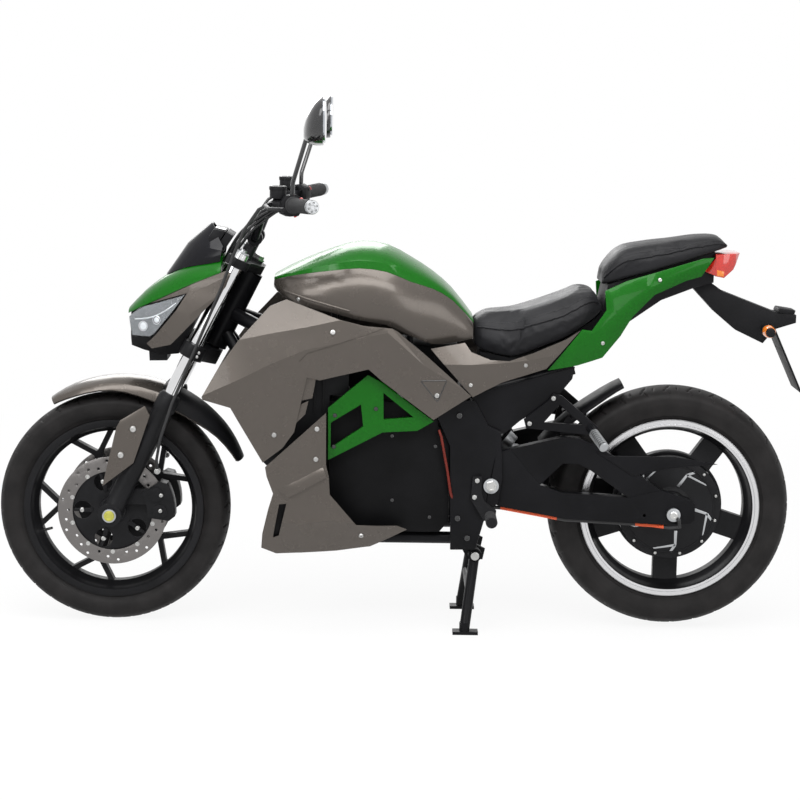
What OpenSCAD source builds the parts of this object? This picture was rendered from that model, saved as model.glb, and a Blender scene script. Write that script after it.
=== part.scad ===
// Naked electric street motorcycle with a hub motor, parked on its centre stand.
// Millimetres. +X is forward, +Y is the rider's left, +Z is up.
// The origin is on the floor, under the middle of the overall length.

/* [Wheels] */
// Length from the front tyre to the tip of the plate hanger
overall_length = 2026; // [1990:1:2080]
// Distance between the wheel axles
wheelbase = 1410; // [1400:1:1420]
// Outside diameter of the front tyre
front_tyre_d = 586; // [570:1:596]
// Width of the front tyre
front_tyre_w = 110; // [90:1:116]
// Outside diameter of the rear tyre
rear_tyre_d = 614; // [600:1:620]
// Width of the rear tyre
rear_tyre_w = 130; // [110:1:140]
// Diameter of the bead seat on both rims
bead_d = 434; // [428:1:440]
// Height of the rear tyre above the floor on the stand
rear_lift = 8; // [4:1:14]
// Diameter of the front brake discs
front_disc_d = 276; // [260:1:280]
// Diameter of the rear brake disc
rear_disc_d = 210; // [190:1:220]
// Diameter of the hub motor
motor_d = 262; // [240:1:270]

/* [Fork] */
// Angle of the fork from the vertical
rake = 26.5; // [25.5:0.1:27.5]
// Distance of the steering axis behind the fork legs
yoke_offset = 38; // [34:1:42]
// Distance between the centre lines of the fork legs
fork_spread = 210; // [206:1:214]
// Diameter of the bright fork tubes
stanchion_d = 37; // [33:1:39]
// Diameter of the lower fork legs
slider_d = 50; // [46:1:52]
// Length of the fork from the axle to its top
fork_length = 735; // [725:1:745]
// Diameter of the front axle
front_axle_d = 20; // [15:1:22]
// Diameter of the handlebar
bar_d = 22; // [20:1:25]
// Diameter of the grips
grip_d = 33; // [30:1:36]

/* [Chassis] */
// Distance of the front axle ahead of the body's reference plane
axle_reach = 730; // [722:1:740]
// Half the distance between the inner faces of the pivot plates
pivot_half_w = 132; // [131:0.5:134]
// Thickness of the pivot plates
pivot_plate_t = 10; // [6:1:12]
// Diameter of the main frame tubes
frame_tube_d = 36; // [30:1:38]
// Diameter of the cradle tubes
cradle_tube_d = 30; // [24:1:32]
// Thickness of each swinging arm
arm_t = 32; // [26:1:34]
// Diameter of the rear axle
rear_axle_d = 20; // [16:1:24]
// Width of the battery case
battery_w = 263; // [240:1:263]
// Thickness of the body panels
panel_t = 4; // [3:0.5:5]
// Width of the centre stand across its feet
stand_w = 290; // [260:1:310]

/* [Hidden] */
$fn = 64;
// Gap between a shaft and its bore
run_gap = 0.05;
// Gap between fixed neighbours
seat_gap = 0.3;
// Gap between a wheel and what is fixed beside it
spin_gap = 5;

front_r = front_tyre_d / 2;
rear_r = rear_tyre_d / 2;
front_x = overall_length / 2 - front_r;
rear_x = front_x - wheelbase;
front_z = front_r;
rear_z = rear_r + rear_lift;
// Reference plane that the tables of the body count from
body_x = front_x - axle_reach;
leg_y = fork_spread / 2;

green = "#2f8f2a";
graphite = "#6b6660";
black = "#1b1b1c";
dark = "#2a2a2c";
silver = "#c4c6c8";
amber = "#d0341c";

// Placement
module body() { translate([body_x, 0, 0]) children(); }
// Steered tables count from the front axle, those of the controls from the middle of the handlebar
module steered() { translate([front_x, 0, 0]) children(); }
module on_bar_frame() { steered() translate([bar_mid[0], 0, bar_mid[1]]) children(); }
module at_front_axle() { translate([front_x, 0, front_z]) children(); }
module at_rear_axle() { translate([rear_x, 0, rear_z]) children(); }
// Fork frame: origin on the front axle, local Z up along the legs, local X forward
module in_fork() { at_front_axle() rotate([0, -rake, 0]) children(); }
// Place of a point of the fork frame, counted from the front axle
function fork_point(x, z) = [x * cos(rake) - z * sin(rake), front_z + x * sin(rake) + z * cos(rake)];
module both() {
  children();
  mirror([0, 1, 0]) children();
}

// Shapes
function flip_y(p) = [p[0], -p[1], p[2]];
// Round bar between two points
module rod(a, b, d) {
  v = b - a;
  h = norm(v);
  translate(a) rotate([0, acos(v[2] / h), atan2(v[1], v[0])]) cylinder(h = h, d = d);
}
// Bent bar through a list of points, with a slightly thicker round joint at each bend
joint_bead = 1;
function unit(v) = v / norm(v);
module bent_rod(p, d) {
  last = len(p) - 1;
  for (i = [0:last - 1]) rod(p[i], p[i + 1], d);
  for (i = [1:1:last - 1]) translate(p[i]) sphere(d = d + joint_bead);
}
// Plate with its outline in x and z, from y0 to y1
module side_plate(outline, y0, y1) {
  translate([0, y1, 0]) rotate([90, 0, 0]) linear_extrude(y1 - y0) polygon(outline);
}
// Cylinder along y from y0 to y1
module y_bar(d, y0, y1) { translate([0, y1, 0]) rotate([90, 0, 0]) cylinder(h = y1 - y0, d = d); }
// Solid of revolution about y, from a profile of [radius, y] pairs
module wheel_turn(profile) {
  rotate([90, 0, 0]) rotate_extrude($fn = 96) polygon([for (p = profile) [p[0], -p[1]]]);
}

// Smooth curve through the rows of a table, with n steps between rows
function blend_row(a, b, c, d, t) =
  0.5 * (2 * b + (c - a) * t + (2 * a - 5 * b + 4 * c - d) * t * t + (3 * b - a - 3 * c + d) * t * t * t);
function smooth_rows(rows, n) = let (last = len(rows) - 1) concat(
  [for (i = [0:last - 1]) for (k = [0:n - 1])
    blend_row(rows[max(i - 1, 0)], rows[i], rows[i + 1], rows[min(i + 2, last)], k / n)],
  [rows[last]]);
// Closed ring at station x from half a section, listed from the top to the bottom of the left half
function ring_at(x, half) = concat(
  [for (p = half) [x, p[0], p[1]]],
  [for (i = [len(half) - 1:-1:0]) if (half[i][0] > 0.001) [x, -half[i][0], half[i][1]]]);
// Solid through rings that run from front to rear.
// A thin ring lists its outer line and then its inner line backwards, and is closed by a strip.
module loft(rings, thin = false) {
  n = len(rings[0]);
  last = len(rings) - 1;
  sides = [for (i = [0:last - 1]) for (j = [0:n - 1]) let (k = (j + 1) % n)
    each [[i * n + j, i * n + n + j, i * n + n + k], [i * n + j, i * n + n + k, i * n + k]]];
  cap = thin ? [for (j = [0:n / 2 - 2]) each [[j, j + 1, n - 2 - j], [j, n - 2 - j, n - 1 - j]]]
    : [[for (j = [0:n - 1]) j]];
  end_cap = [for (f = cap) [for (i = [len(f) - 1:-1:0]) last * n + f[i]]];
  polyhedron(points = [for (r = rings) each r], faces = concat(sides, cap, end_cap));
}
// Left panel of even wall through rows of [x, z1, y1, z2, y2, ...] listed from top to bottom
function panel_ring(row, t, out) = let (m = (len(row) - 1) / 2) concat(
  [for (i = [0:m - 1]) [row[0], row[2 * i + 2] + out, row[2 * i + 1]]],
  [for (i = [m - 1:-1:0]) [row[0], row[2 * i + 2] - t, row[2 * i + 1]]]);
module panel(rows, t = panel_t, out = 0) { loft([for (r = rows) panel_ring(r, t, out)], thin = true); }
// Strip of width w along a line of [x, z] points
function strip_outline(line, w) = concat(
  [for (q = line) [q[0], q[1] + w / 2]], [for (i = [len(line) - 1:-1:0]) [line[i][0], line[i][1] - w / 2]]);
// Tube of 8 sides swept along points
function tube_ring(c, dir, r, sides) =
  let (u = unit(cross(dir, [0.11, 0.23, 0.97])), v = cross(dir, u))
  [for (k = [0:sides - 1]) c + r * (cos(360 * k / sides) * u + sin(360 * k / sides) * v)];
// Points of a path whose corners are rounded to radius r
function corner_points(a, b, c, r, n) = let (u = unit(b - a), v = unit(c - b), turn = acos(u * v),
    centre = b + unit(v - u) * r / cos(turn / 2), ex = unit(b - u * r * tan(turn / 2) - centre))
  [for (k = [0:n]) centre + r * (cos(turn * k / n) * ex + sin(turn * k / n) * u)];
function rounded_path(p, r, n) = let (last = len(p) - 1) concat([p[0]],
  [for (i = [1:1:last - 1]) each corner_points(p[i - 1], p[i], p[i + 1], r, n)], [p[last]]);
module swept_bar(p, d, r, sides = 16) { hose(rounded_path(p, r, 5), d, sides); }
module hose(points, d, sides = 8) {
  last = len(points) - 1;
  loft([for (i = [0:last])
    tube_ring(points[i], unit(points[min(i + 1, last)] - points[max(i - 1, 0)]), d / 2, sides)]);
}

// Frame
lower_yoke = 446;
yoke_t = 36;
upper_yoke_t = 22;
upper_yoke = fork_length - 13 - upper_yoke_t;
head_low = lower_yoke + yoke_t + spin_gap;
head_high = upper_yoke - spin_gap;
head_d = 62;
stem_d = 32;
// Where the frame tubes meet the head, as heights along the fork
spar_root_h = head_high - 114;
cradle_root_h = head_low + 41;
function head_root(back, h, y) = let (q = fork_point(-yoke_offset - back, h)) [axle_reach + q[0], y, q[1]];
cross_z_low = 240;
cross_z_high = 592;
cross_x = -150;
spar_y = pivot_half_w - frame_tube_d / 2 - seat_gap;
spar_points = [
  head_root(13, spar_root_h, 24), [250, spar_y, 716], [-60, spar_y, 640], [cross_x, spar_y, cross_z_high]];
cradle_y = 95;
cradle_points = [
  head_root(16, cradle_root_h, 22), [322, cradle_y, 560], [262, cradle_y, cross_z_low],
  [cross_x, cradle_y, cross_z_low]];
function spar_z(x) = lookup(x, [for (q = spar_points) [q[0], q[2]]]);
// Posts under the tank: x, top z
tank_posts = [[173, 810.8], [-15, 754]];
post_d = 16;
module steering_bore() {
  in_fork() translate([-yoke_offset, 0, head_low - 60]) cylinder(h = 400, d = stem_d + 2 * run_gap);
}
module main_frame() {
  color(black) difference() {
    union() {
      in_fork() translate([-yoke_offset, 0, head_low]) cylinder(h = head_high - head_low, d = head_d);
      body() both() bent_rod(spar_points, frame_tube_d);
      body() both() bent_rod(cradle_points, cradle_tube_d);
      body() both() for (t = tank_posts) {
        translate([t[0], spar_y, spar_z(t[0])]) cylinder(h = t[1] - spar_z(t[0]), d = post_d);
      }
      body() translate([cross_x, 0, cross_z_low]) y_bar(cradle_tube_d, -pivot_half_w, pivot_half_w);
      body() translate([cross_x, 0, cross_z_high]) y_bar(frame_tube_d, -pivot_half_w, pivot_half_w);
      body() translate([255, 0, cross_z_low + 10]) y_bar(cradle_tube_d - 4, -cradle_y, cradle_y);
    }
    steering_bore();
  }
}

pivot_x = -222;
pivot_z = 384;
pivot_d = 22;
pivot_outline = [
  [-84, 557], [-113, 597], [-178, 597], [-212, 534], [-245, 520], [-250, 400], [-240, 340],
  [-208, 300], [-186, 220], [-123, 219], [-118, 482]];
module pivot_plates() {
  color(black) body() both() difference() {
    side_plate(pivot_outline, pivot_half_w, pivot_half_w + pivot_plate_t);
    translate([pivot_x, 0, pivot_z]) y_bar(pivot_d + 2 * run_gap, 0, 200);
  }
}

// Battery, controller and the side trellis
battery_outline = [[182, 262], [182, 590], [-88, 590], [-88, 530], [-118, 490], [-118, 290], [-95, 262]];
battery_floor = 262;
foot_top = battery_floor + 1;
foot_low = cross_z_low + cradle_tube_d / 2 + seat_gap;
foot_side = 24;
module battery_case() {
  color(dark) body() {
    side_plate(battery_outline, -battery_w / 2, battery_w / 2);
    both() for (x = [100, -70]) {
      translate([x, cradle_y - foot_side / 2, foot_low]) cube([foot_side, foot_side, foot_top - foot_low]);
    }
  }
}
module controller_box() {
  color(dark) body() {
    translate([182, -72, 300]) cube([64, 144, 300]);
    for (i = [0:6]) translate([245, -62 + i * 20, 310]) cube([12, 4, 280]);
  }
}
trellis_y = 166;
trellis_t = 14;
trellis_outline = [
  [185, 578], [88, 661], [49, 641], [-76, 548], [-35, 524], [50, 519], [184, 448], [184, 473]];
trellis_window = [[178, 542], [104, 588], [98, 533], [178, 478]];
trellis_triangle = [[49, 618], [-26, 558], [48, 551]];
module trellis_panels() {
  color(green) body() both() {
    difference() {
      side_plate(trellis_outline, trellis_y - trellis_t, trellis_y);
      side_plate(trellis_window, 0, 200);
      side_plate(trellis_triangle, 0, 200);
    }
    for (p = [[72, 560], [150, 482], [20, 535]])
      translate([p[0], 0, p[1]]) y_bar(18, battery_w / 2, trellis_y - trellis_t + 1);
  }
}

// Tank: x, top z, split y and z, belt y and z, low y and z
tank_rows = [
  [325, 893, 60, 884, 75, 876, 70, 866],
  [300, 907, 95, 893, 122, 870, 116, 848],
  [245, 934, 125, 906, 162, 862, 152, 828],
  [173, 962, 145, 917, 178, 862, 165, 813],
  [111, 977, 150, 923, 180, 864, 168, 797],
  [45, 970, 146, 915, 178, 858, 164, 786],
  [-15, 940, 135, 890, 166, 834, 150, 758],
  [-70, 905, 120, 872, 146, 814, 130, 736],
  [-120, 862, 105, 842, 124, 795, 117, 738],
  [-172, 797, 88, 786, 100, 772, 102, 748]];
tank_stations = smooth_rows(tank_rows, 2);
crown_steps = 6;
function crown(top, y, z) = [for (k = [0:crown_steps]) let (a = 90 * k / crown_steps)
  [y * sin(a), z + (top - z) * pow(cos(a), 0.8)]];
function side_curve(r) = [for (k = [0:4]) let (t = k / 4)
  [r[2] * (1 - t) * (1 - t) + 2 * (1.06 * r[4]) * t * (1 - t) + r[6] * t * t,
   r[3] * (1 - t) * (1 - t) + 2 * r[5] * t * (1 - t) + r[7] * t * t]];
module tank_top() {
  color(green) body() loft([for (r = tank_stations) ring_at(r[0], crown(r[1], r[2], r[3]))]);
}
module tank_body() {
  color(graphite) body() loft([for (r = tank_stations) ring_at(r[0], side_curve(r))]);
}

// Side shrouds: x, then z and y from the top edge to the bottom edge
shroud_rows = [
  [505, 660, 188, 625, 203, 605, 208, 540, 198],
  [404, 800, 168, 748, 196, 652, 216, 540, 206],
  [330, 850, 152, 764, 196, 690, 216, 420, 190],
  [240, 850, 160, 781, 196, 728, 210, 420, 187],
  [160, 850, 166, 799, 192, 745, 203, 420, 187],
  [40, 850, 166, 792, 186, 770, 193, 540, 190],
  [-50, 790, 158, 724, 182, 690, 188, 530, 187],
  [-180, 700, 155, 640, 168, 610, 176, 530, 174]];
shroud_outline = [
  [330, 828], [404, 747], [454, 677], [493, 608], [491, 601], [423, 582], [344, 444], [296, 481],
  [267, 522], [236, 660], [205, 652], [86, 680], [52, 650], [-75, 555], [-167, 614], [-50, 718],
  [-15, 746], [15, 772], [30, 780], [99, 786], [157, 800], [289, 845]];
// Bosses on the spars: x, end y
shroud_bosses = [[220, 205], [0, 188]];
// Groove where the front and rear pieces of a shroud meet
groove_line = [[254, 700], [236, 719], [86, 765], [35, 786]];
groove_w = 3.5;
groove_depth = panel_t / 2;
module side_shrouds() {
  color(graphite) body() both() {
    difference() {
      intersection() {
        panel(shroud_rows);
        side_plate(shroud_outline, 100, 260);
      }
      intersection() {
        panel(shroud_rows, groove_depth, 1);
        side_plate(strip_outline(groove_line, groove_w), 100, 260);
      }
    }
    for (b = shroud_bosses) {
      translate([b[0], 0, spar_z(b[0])]) y_bar(post_d, spar_y + frame_tube_d / 2 + seat_gap, b[1]);
    }
  }
}

// Belly pan: x, then z and y from the top edge to the bottom edge
belly_rows = [
  [360, 600, 190, 400, 196, 300, 186, 190, 122],
  [250, 600, 192, 400, 200, 290, 192, 190, 126],
  [180, 600, 190, 420, 198, 300, 190, 190, 122],
  [60, 600, 182, 400, 185, 285, 178, 190, 110],
  [-30, 600, 168, 400, 170, 290, 162, 190, 98]];
belly_outline = [
  [338, 433], [189, 570], [188, 441], [181, 412], [178, 366], [112, 287], [11, 284], [-14, 272],
  [78, 223], [161, 211], [313, 201], [350, 217], [346, 259], [330, 327], [318, 367], [334, 410]];
belly_vent = [[303, 340], [285, 342], [305, 254], [320, 248]];
// Bosses on the cradle tubes and on the battery: x, z, start y, end y
belly_bosses = [[296, 420, cradle_y + cradle_tube_d / 2 + seat_gap, 195], [158, 312, battery_w / 2, 186.5]];
module belly_pan() {
  color(graphite) body() both() {
    difference() {
      intersection() {
        panel(belly_rows);
        side_plate(belly_outline, 60, 230);
      }
      side_plate(belly_vent, 100, 260);
    }
    for (b = belly_bosses) translate([b[0], 0, b[1]]) y_bar(post_d, b[2], b[3]);
  }
}

// Tail: x, then z and y from the top edge to the bottom edge
tail_side_rows = [
  [-35, 790, 138, 692, 167, 585, 165],
  [-165, 786, 124, 690, 164, 588, 168],
  [-305, 782, 147, 702, 160, 612, 150],
  [-450, 810, 146, 732, 152, 645, 138]];
tail_side_outline = [
  [-66, 727], [-150, 742], [-166, 720], [-214, 702], [-260, 700], [-321, 721], [-398, 754],
  [-434, 777], [-351, 681], [-241, 646], [-171, 610]];
module tail_sides() {
  color(graphite) body() both() {
    intersection() {
      panel(smooth_rows(tail_side_rows, 2));
      side_plate(tail_side_outline, 60, 230);
    }
    translate([-300, 0, 690]) y_bar(post_d, 103.8, 157);
  }
}
tail_cowl_rows = [
  [-340, 800, 148, 720, 154, 660, 142],
  [-430, 820, 146, 750, 150, 670, 138],
  [-495, 900, 118, 790, 140, 690, 128],
  [-560, 930, 104, 850, 120, 750, 104],
  [-640, 950, 98, 895, 106, 820, 90],
  [-720, 970, 88, 930, 94, 880, 78],
  [-790, 980, 78, 945, 80, 900, 68]];
tail_cowl_outline = [
  [-356, 676], [-429, 689], [-491, 708], [-536, 761], [-564, 807], [-619, 863], [-696, 897],
  [-736, 908], [-766, 955], [-739, 953], [-549, 897], [-494, 873], [-498, 826], [-462, 776], [-438, 779]];
module tail_cowl() {
  color(green) body() both() {
    intersection() {
      panel(smooth_rows(tail_cowl_rows, 2));
      side_plate(tail_cowl_outline, 40, 230);
    }
    translate([-600, 0, 878]) y_bar(post_d, 76.3, 110.5);
  }
}

// Seats: x, top z, half width, bottom z
rider_rows = [
  [-174, 795, 76, 730], [-200, 806, 96, 714], [-270, 813, 126, 704], [-330, 829, 146, 727],
  [-400, 854, 150, 757], [-445, 873, 140, 786], [-475, 870, 120, 806], [-490, 850, 108, 822]];
pillion_rows = [
  [-490, 905, 70, 880], [-505, 935, 90, 886], [-540, 970, 104, 898], [-600, 984, 108, 916],
  [-670, 993, 104, 937], [-735, 1003, 94, 957], [-785, 1003, 80, 973], [-806, 985, 64, 980]];
function pad_half(r) = let (h = r[1] - r[3]) [
  [0, r[1]], [0.45 * r[2], r[1] - 0.02 * h], [0.78 * r[2], r[1] - 0.14 * h], [0.95 * r[2], r[1] - 0.4 * h],
  [r[2], r[1] - 0.72 * h], [0.94 * r[2], r[3]]];
module pad(rows) { loft([for (r = smooth_rows(rows, 2)) ring_at(r[0], pad_half(r))]); }
module rider_seat() { color(black) body() pad(rider_rows); }
module pillion_seat() { color(black) body() pad(pillion_rows); }

// Undertail tray: x, top z, half width, bottom z
tray_rows = [
  [-190, 712, 76, 650], [-262, 700.5, 100, 640], [-330, 722, 109.5, 651], [-400, 751, 109.5, 670],
  [-470, 799, 100, 716], [-492, 820, 94, 736], [-505, 884.5, 84, 748], [-560, 903, 80, 790],
  [-640, 927, 76, 846], [-720, 951.6, 66, 876], [-772, 968, 56, 890]];
module undertail() {
  color(black) body() loft([for (r = tray_rows) ring_at(r[0], [[r[2], r[1]], [0.9 * r[2], r[3]]])]);
}
lamp_outline = [[-772, 962], [-837, 964], [-818, 924], [-794, 904], [-772, 908]];
lamp_half = 72;
lamp_plan = [
  [-770, -lamp_half], [-770, lamp_half], [-796, lamp_half], [-824, 58], [-838, 34], [-838, -34], [-824, -58],
  [-796, -lamp_half]];
module tail_lamp() {
  color(amber) body() intersection() {
    side_plate(lamp_outline, -lamp_half, lamp_half);
    translate([0, 0, 800]) linear_extrude(300) polygon(lamp_plan);
  }
}

// Plate hanger and its two bolt holes
hanger_tip_x = -overall_length / 2 - body_x;
hanger_arm = [
  [-722, 876], [-768, 888.4], [-800, 866], [-855, 845], [hanger_tip_x + 71, 816], [hanger_tip_x + 16, 809],
  [hanger_tip_x + 16, 789], [hanger_tip_x + 69, 772], [hanger_tip_x + 98, 736], [-835, 769], [-781, 814]];
plate_top = [hanger_tip_x + 78, 788];
plate_low = [hanger_tip_x, 618];
plate_lean = atan2(plate_top[0] - plate_low[0], plate_top[1] - plate_low[1]);
plate_len = norm(plate_top - plate_low);
plate_t = 5;
plate_w = 120;
plate_hole_d = 7;
plate_hole_gap = 80;
plate_hole_drop = 70;
module plate_hanger() {
  color(black) body() {
    side_plate(hanger_arm, -28, 28);
    translate([plate_low[0], 0, plate_low[1]]) rotate([0, plate_lean, 0]) difference() {
      translate([0, -plate_w / 2, 0]) cube([plate_t, plate_w, plate_len]);
      for (y = [-1, 1]) translate([-20, y * plate_hole_gap / 2, plate_len - plate_hole_drop])
        rotate([0, 90, 0]) cylinder(h = 50, d = plate_hole_d);
    }
  }
}
module rear_indicators() {
  color(black) body() both() {
    translate([hanger_tip_x + 98, 0, 776]) y_bar(14, 28, 92);
    translate([hanger_tip_x + 98, 92, 776]) rotate([-90, 0, 0]) cylinder(h = 46, d1 = 30, d2 = 22);
  }
}

// Subframe rails and gussets
gusset_t = 8;
gusset_outline = [
  [-172, 611], [-424, 684], [-418, 654], [-377, 603], [-291, 547], [-255, 516], [-212, 500], [-172, 540]];
rail_d = 26;
rail_y = pivot_half_w - gusset_t - rail_d / 2 + 1;
rail_points = [[-188, rail_y, 612], [-424, rail_y, 676]];
module subframe() {
  color(black) body() both() {
    side_plate(gusset_outline, pivot_half_w - gusset_t, pivot_half_w);
    bent_rod(rail_points, rail_d);
  }
}

// Swinging arm
arm_y0 = pivot_half_w - arm_t;
arm_outline = [
  [-205, 410], [-211, 456], [-268, 475], [-345, 385], [-400, 366], [-566, 356], [-647, 375], [-723, 352],
  [-734, 340], [-734, 300], [-723, 291], [-637, 289], [-410, 300], [-247, 329], [-205, 345]];
module swingarm() {
  color(black) difference() {
    body() both() side_plate(arm_outline, arm_y0, pivot_half_w);
    body() translate([pivot_x, 0, pivot_z]) y_bar(pivot_d + 2 * run_gap, -200, 200);
    at_rear_axle() y_bar(rear_axle_d + 2 * run_gap, -200, 200);
    for (s = [-1, 1]) at_rear_axle() translate([72, s * pivot_half_w, -4]) y_bar(8, -22, 22);
  }
}
// Braces welded on the arms, with a window below
brace_outline = [
  [-268, 475], [-400, 507], [-440, 505], [-493, 483], [-647, 375], [-566, 356], [-470, 424], [-440, 440],
  [-400, 440], [-345, 385]];
module arm_braces() { color(black) body() both() side_plate(brace_outline, arm_y0, pivot_half_w); }
module swingarm_tubes() {
  color(black) body() {
    translate([-292, 0, 400]) y_bar(64, -arm_y0, arm_y0);
    translate([pivot_x, 0, pivot_z]) difference() {
      y_bar(52, -arm_y0, arm_y0);
      y_bar(pivot_d + 2 * run_gap, -200, 200);
    }
  }
}
guard_outline = [[-479, 474], [-508, 462], [-679, 462], [-787, 444], [-668, 432], [-575, 412]];
module swingarm_guard() { color(graphite) body() side_plate(guard_outline, pivot_half_w, pivot_half_w + 4); }
axle_end = pivot_half_w + 14;
motor_half_w = 76;
motor_body_half = 50;
module rear_axle() {
  color(silver) {
    at_rear_axle() {
      y_bar(rear_axle_d, -axle_end, axle_end);
      both() y_bar(34, pivot_half_w + 0.02, pivot_half_w + 10);
      both() y_bar(32, motor_half_w + disc_t + 2, arm_y0 - 0.02);
    }
    body() translate([pivot_x, 0, pivot_z]) {
      y_bar(pivot_d, -pivot_half_w - pivot_plate_t - 8, pivot_half_w + pivot_plate_t + 8);
      both() y_bar(38, pivot_half_w + pivot_plate_t + 0.02, pivot_half_w + pivot_plate_t + 8);
    }
  }
}

// Strips that follow a wheel: angle, crown radius, edge radius, half width
function strip_half(r) = let (drop = r[1] - r[2])
  [[0, r[1]], [0.55, r[1] - 0.14 * drop], [0.88, r[1] - 0.5 * drop], [1, r[2]]];
function strip_line(half, w, down) = concat(
  [for (i = [3:-1:1]) [-half[i][0] * w, half[i][1] - down]],
  [for (i = [0:3]) [half[i][0] * w, half[i][1] - down]]);
function strip_ring(r, t) = let (
    outer = strip_line(strip_half(r), r[3], 0),
    inner = strip_line(strip_half(r), r[3] - t, t))
  [for (p = concat(outer, [for (i = [6:-1:0]) inner[i]])) [p[1] * cos(r[0]), p[0], p[1] * sin(r[0])]];
module wheel_strip(rows, t) { loft([for (r = smooth_rows(rows, 3)) strip_ring(r, t)], thin = true); }
hugger_rows = [[26, 372, 352, 62], [40, 354, 336, 66], [54, 344, 328, 66], [68, 346, 334, 58]];
hugger_leg = [[-395, 507.3], [-430, 507.3], [-432, 530], [-412, 560], [-398, 530]];
module hugger() {
  color(black) {
    at_rear_axle() wheel_strip(hugger_rows, 4);
    body() both() side_plate(hugger_leg, arm_y0 + 4, arm_y0 + 9);
    body() both() translate([-418, 0, 540]) y_bar(12, 56, arm_y0 + 5);
  }
}
shock_low = [-292, 0, 447.3];
shock_dir = unit(shock_low - [cross_x, 0, cross_z_high]);
shock_top = [cross_x, 0, cross_z_high] + (frame_tube_d / 2 + seat_gap) * shock_dir;
module shock() {
  color(silver) body() {
    rod(shock_top, shock_low, 22);
    rod(shock_top + 44 * shock_dir, shock_low - 23 * shock_dir, 52);
    translate(shock_low) y_bar(30, -18, 18);
  }
}

// Pegs
peg_y = pivot_half_w + pivot_plate_t;
peg_outline = [
  [-198, 408], [-176, 408], [-172, 350], [-205, 296], [-234, 296], [-236, 322], [-206, 346], [-199, 364]];
module rider_pegs() {
  color(silver) body() both() {
    side_plate(peg_outline, peg_y, peg_y + 9);
    translate([-221, 0, 309]) y_bar(26, peg_y + 4, peg_y + 96);
  }
}
pillion_outline = [
  [-372, 618], [-394, 612], [-484, 536], [-480, 518], [-452, 516], [-306, 530], [-300, 552], [-360, 600]];
pillion_hole = [[-388, 590], [-446, 540], [-350, 545]];
module pillion_pegs() {
  color(black) body() both() {
    difference() {
      side_plate(pillion_outline, pivot_half_w, pivot_half_w + 8);
      side_plate(pillion_hole, 0, 200);
    }
    rod([-465, pivot_half_w + 5, 532], [-492, 226, 500], 22);
  }
}

// Centre stand
stand_x = -187;
stand_z = 196;
stand_pin_d = 16;
stand_bracket_y = 60;
foot_x = stand_x + 24;
foot_h = 8;
bracket_outline = [[-140, 232], [-160, 232], [-214, 206], [-208, 178], [-170, 178]];
module stand_bracket() {
  color(black) body() {
    both() difference() {
      side_plate(bracket_outline, stand_bracket_y, stand_bracket_y + 8);
      translate([cross_x, 0, cross_z_low]) y_bar(cradle_tube_d + 2 * seat_gap, 0, 200);
    }
    translate([stand_x, 0, stand_z]) y_bar(stand_pin_d, -110, 110);
    both() translate([stand_x, 0, stand_z]) y_bar(26, 104, 110);
  }
}
module centre_stand() {
  color(black) body() {
    difference() {
      union() {
        both() {
          translate([stand_x, 0, stand_z]) y_bar(34, stand_bracket_y + 12, 102);
          rod([stand_x, 87, stand_z], [foot_x, stand_w / 2 - 12, 14], 26);
          translate([foot_x - 34, stand_w / 2 - 34, 0]) cube([64, 34, foot_h]);
          rod([foot_x, stand_w / 2 - 14, 6], [foot_x, stand_w / 2 - 13, 30], 26);
        }
        rod([stand_x + 11, -106, 108], [stand_x + 11, 106, 108], 24);
      }
      translate([stand_x, 0, stand_z]) y_bar(stand_pin_d + 2 * run_gap, -200, 200);
    }
  }
}

// Wheels
// Tyre section: crown, shoulder, sidewall, bead and back inside
function tyre_profile(r, w, wall) = let (bead = bead_d / 2 + seat_gap, crown_h = 0.22 * w, side = r - crown_h)
  let (outer = concat(
    [for (k = [0:5]) let (a = 90 * k / 5) [side + crown_h * cos(a), 0.5 * w * pow(sin(a), 0.9)]],
    [[side - 0.12 * w, 0.5 * w], [bead + 14, 0.41 * w], [bead, 0.36 * w]]))
  let (inner = [
    [bead, 0.36 * w - wall], [bead + 14, 0.41 * w - wall], [side - 0.12 * w, 0.5 * w - wall],
    [r - 1.6 * wall, 0.3 * w], [r - 1.2 * wall, 0]])
  let (half = concat(outer, inner))
  concat(half, [for (i = [len(half) - 2:-1:1]) [half[i][0], -half[i][1]]]);
module front_tyre() { color(dark) at_front_axle() wheel_turn(tyre_profile(front_r, front_tyre_w, 9)); }
module rear_tyre() { color(dark) at_rear_axle() wheel_turn(tyre_profile(rear_r, rear_tyre_w, 10)); }

// Rim barrel: bead seat, flange, and an inner face with a drop centre
function rim_half(half_w, lip) = let (seat = bead_d / 2) [
  [seat - 14, 0.2 * half_w], [seat, 0.5 * half_w], [seat, half_w], [seat + lip, half_w],
  [seat + lip, half_w + 5], [seat - 6, half_w + 5], [seat - 14, 0.5 * half_w], [seat - 22, 0.3 * half_w]];
function rim_profile(half_w, lip) = let (h = rim_half(half_w, lip))
  concat(h, [for (i = [len(h) - 1:-1:0]) [h[i][0], -h[i][1]]]);
front_rim_half = 0.41 * front_tyre_w + 0.5;
rear_rim_half = 0.41 * rear_tyre_w + 0.5;
spoke_count = 5;
spoke_t = 26;
hub_half = 64;
module spoke_y() {
  translate([30, -11]) square([120, 22]);
  for (s = [-1, 1]) translate([138, 0]) rotate(s * 44) translate([-6, -6.5]) square([84, 13]);
}
module front_rim() {
  color(black) at_front_axle() difference() {
    union() {
      wheel_turn(rim_profile(front_rim_half, 11));
      y_bar(96, -hub_half, hub_half);
      intersection() {
        for (k = [0:spoke_count - 1]) {
          rotate([90, 72 * k, 0]) linear_extrude(spoke_t, center = true) spoke_y();
        }
        y_bar(bead_d - 34, -20, 20);
      }
    }
    y_bar(front_axle_d + 2 * run_gap, -200, 200);
  }
}
carrier_d = 222;
disc_t = 4.5;
carrier_t = 4;
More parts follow.
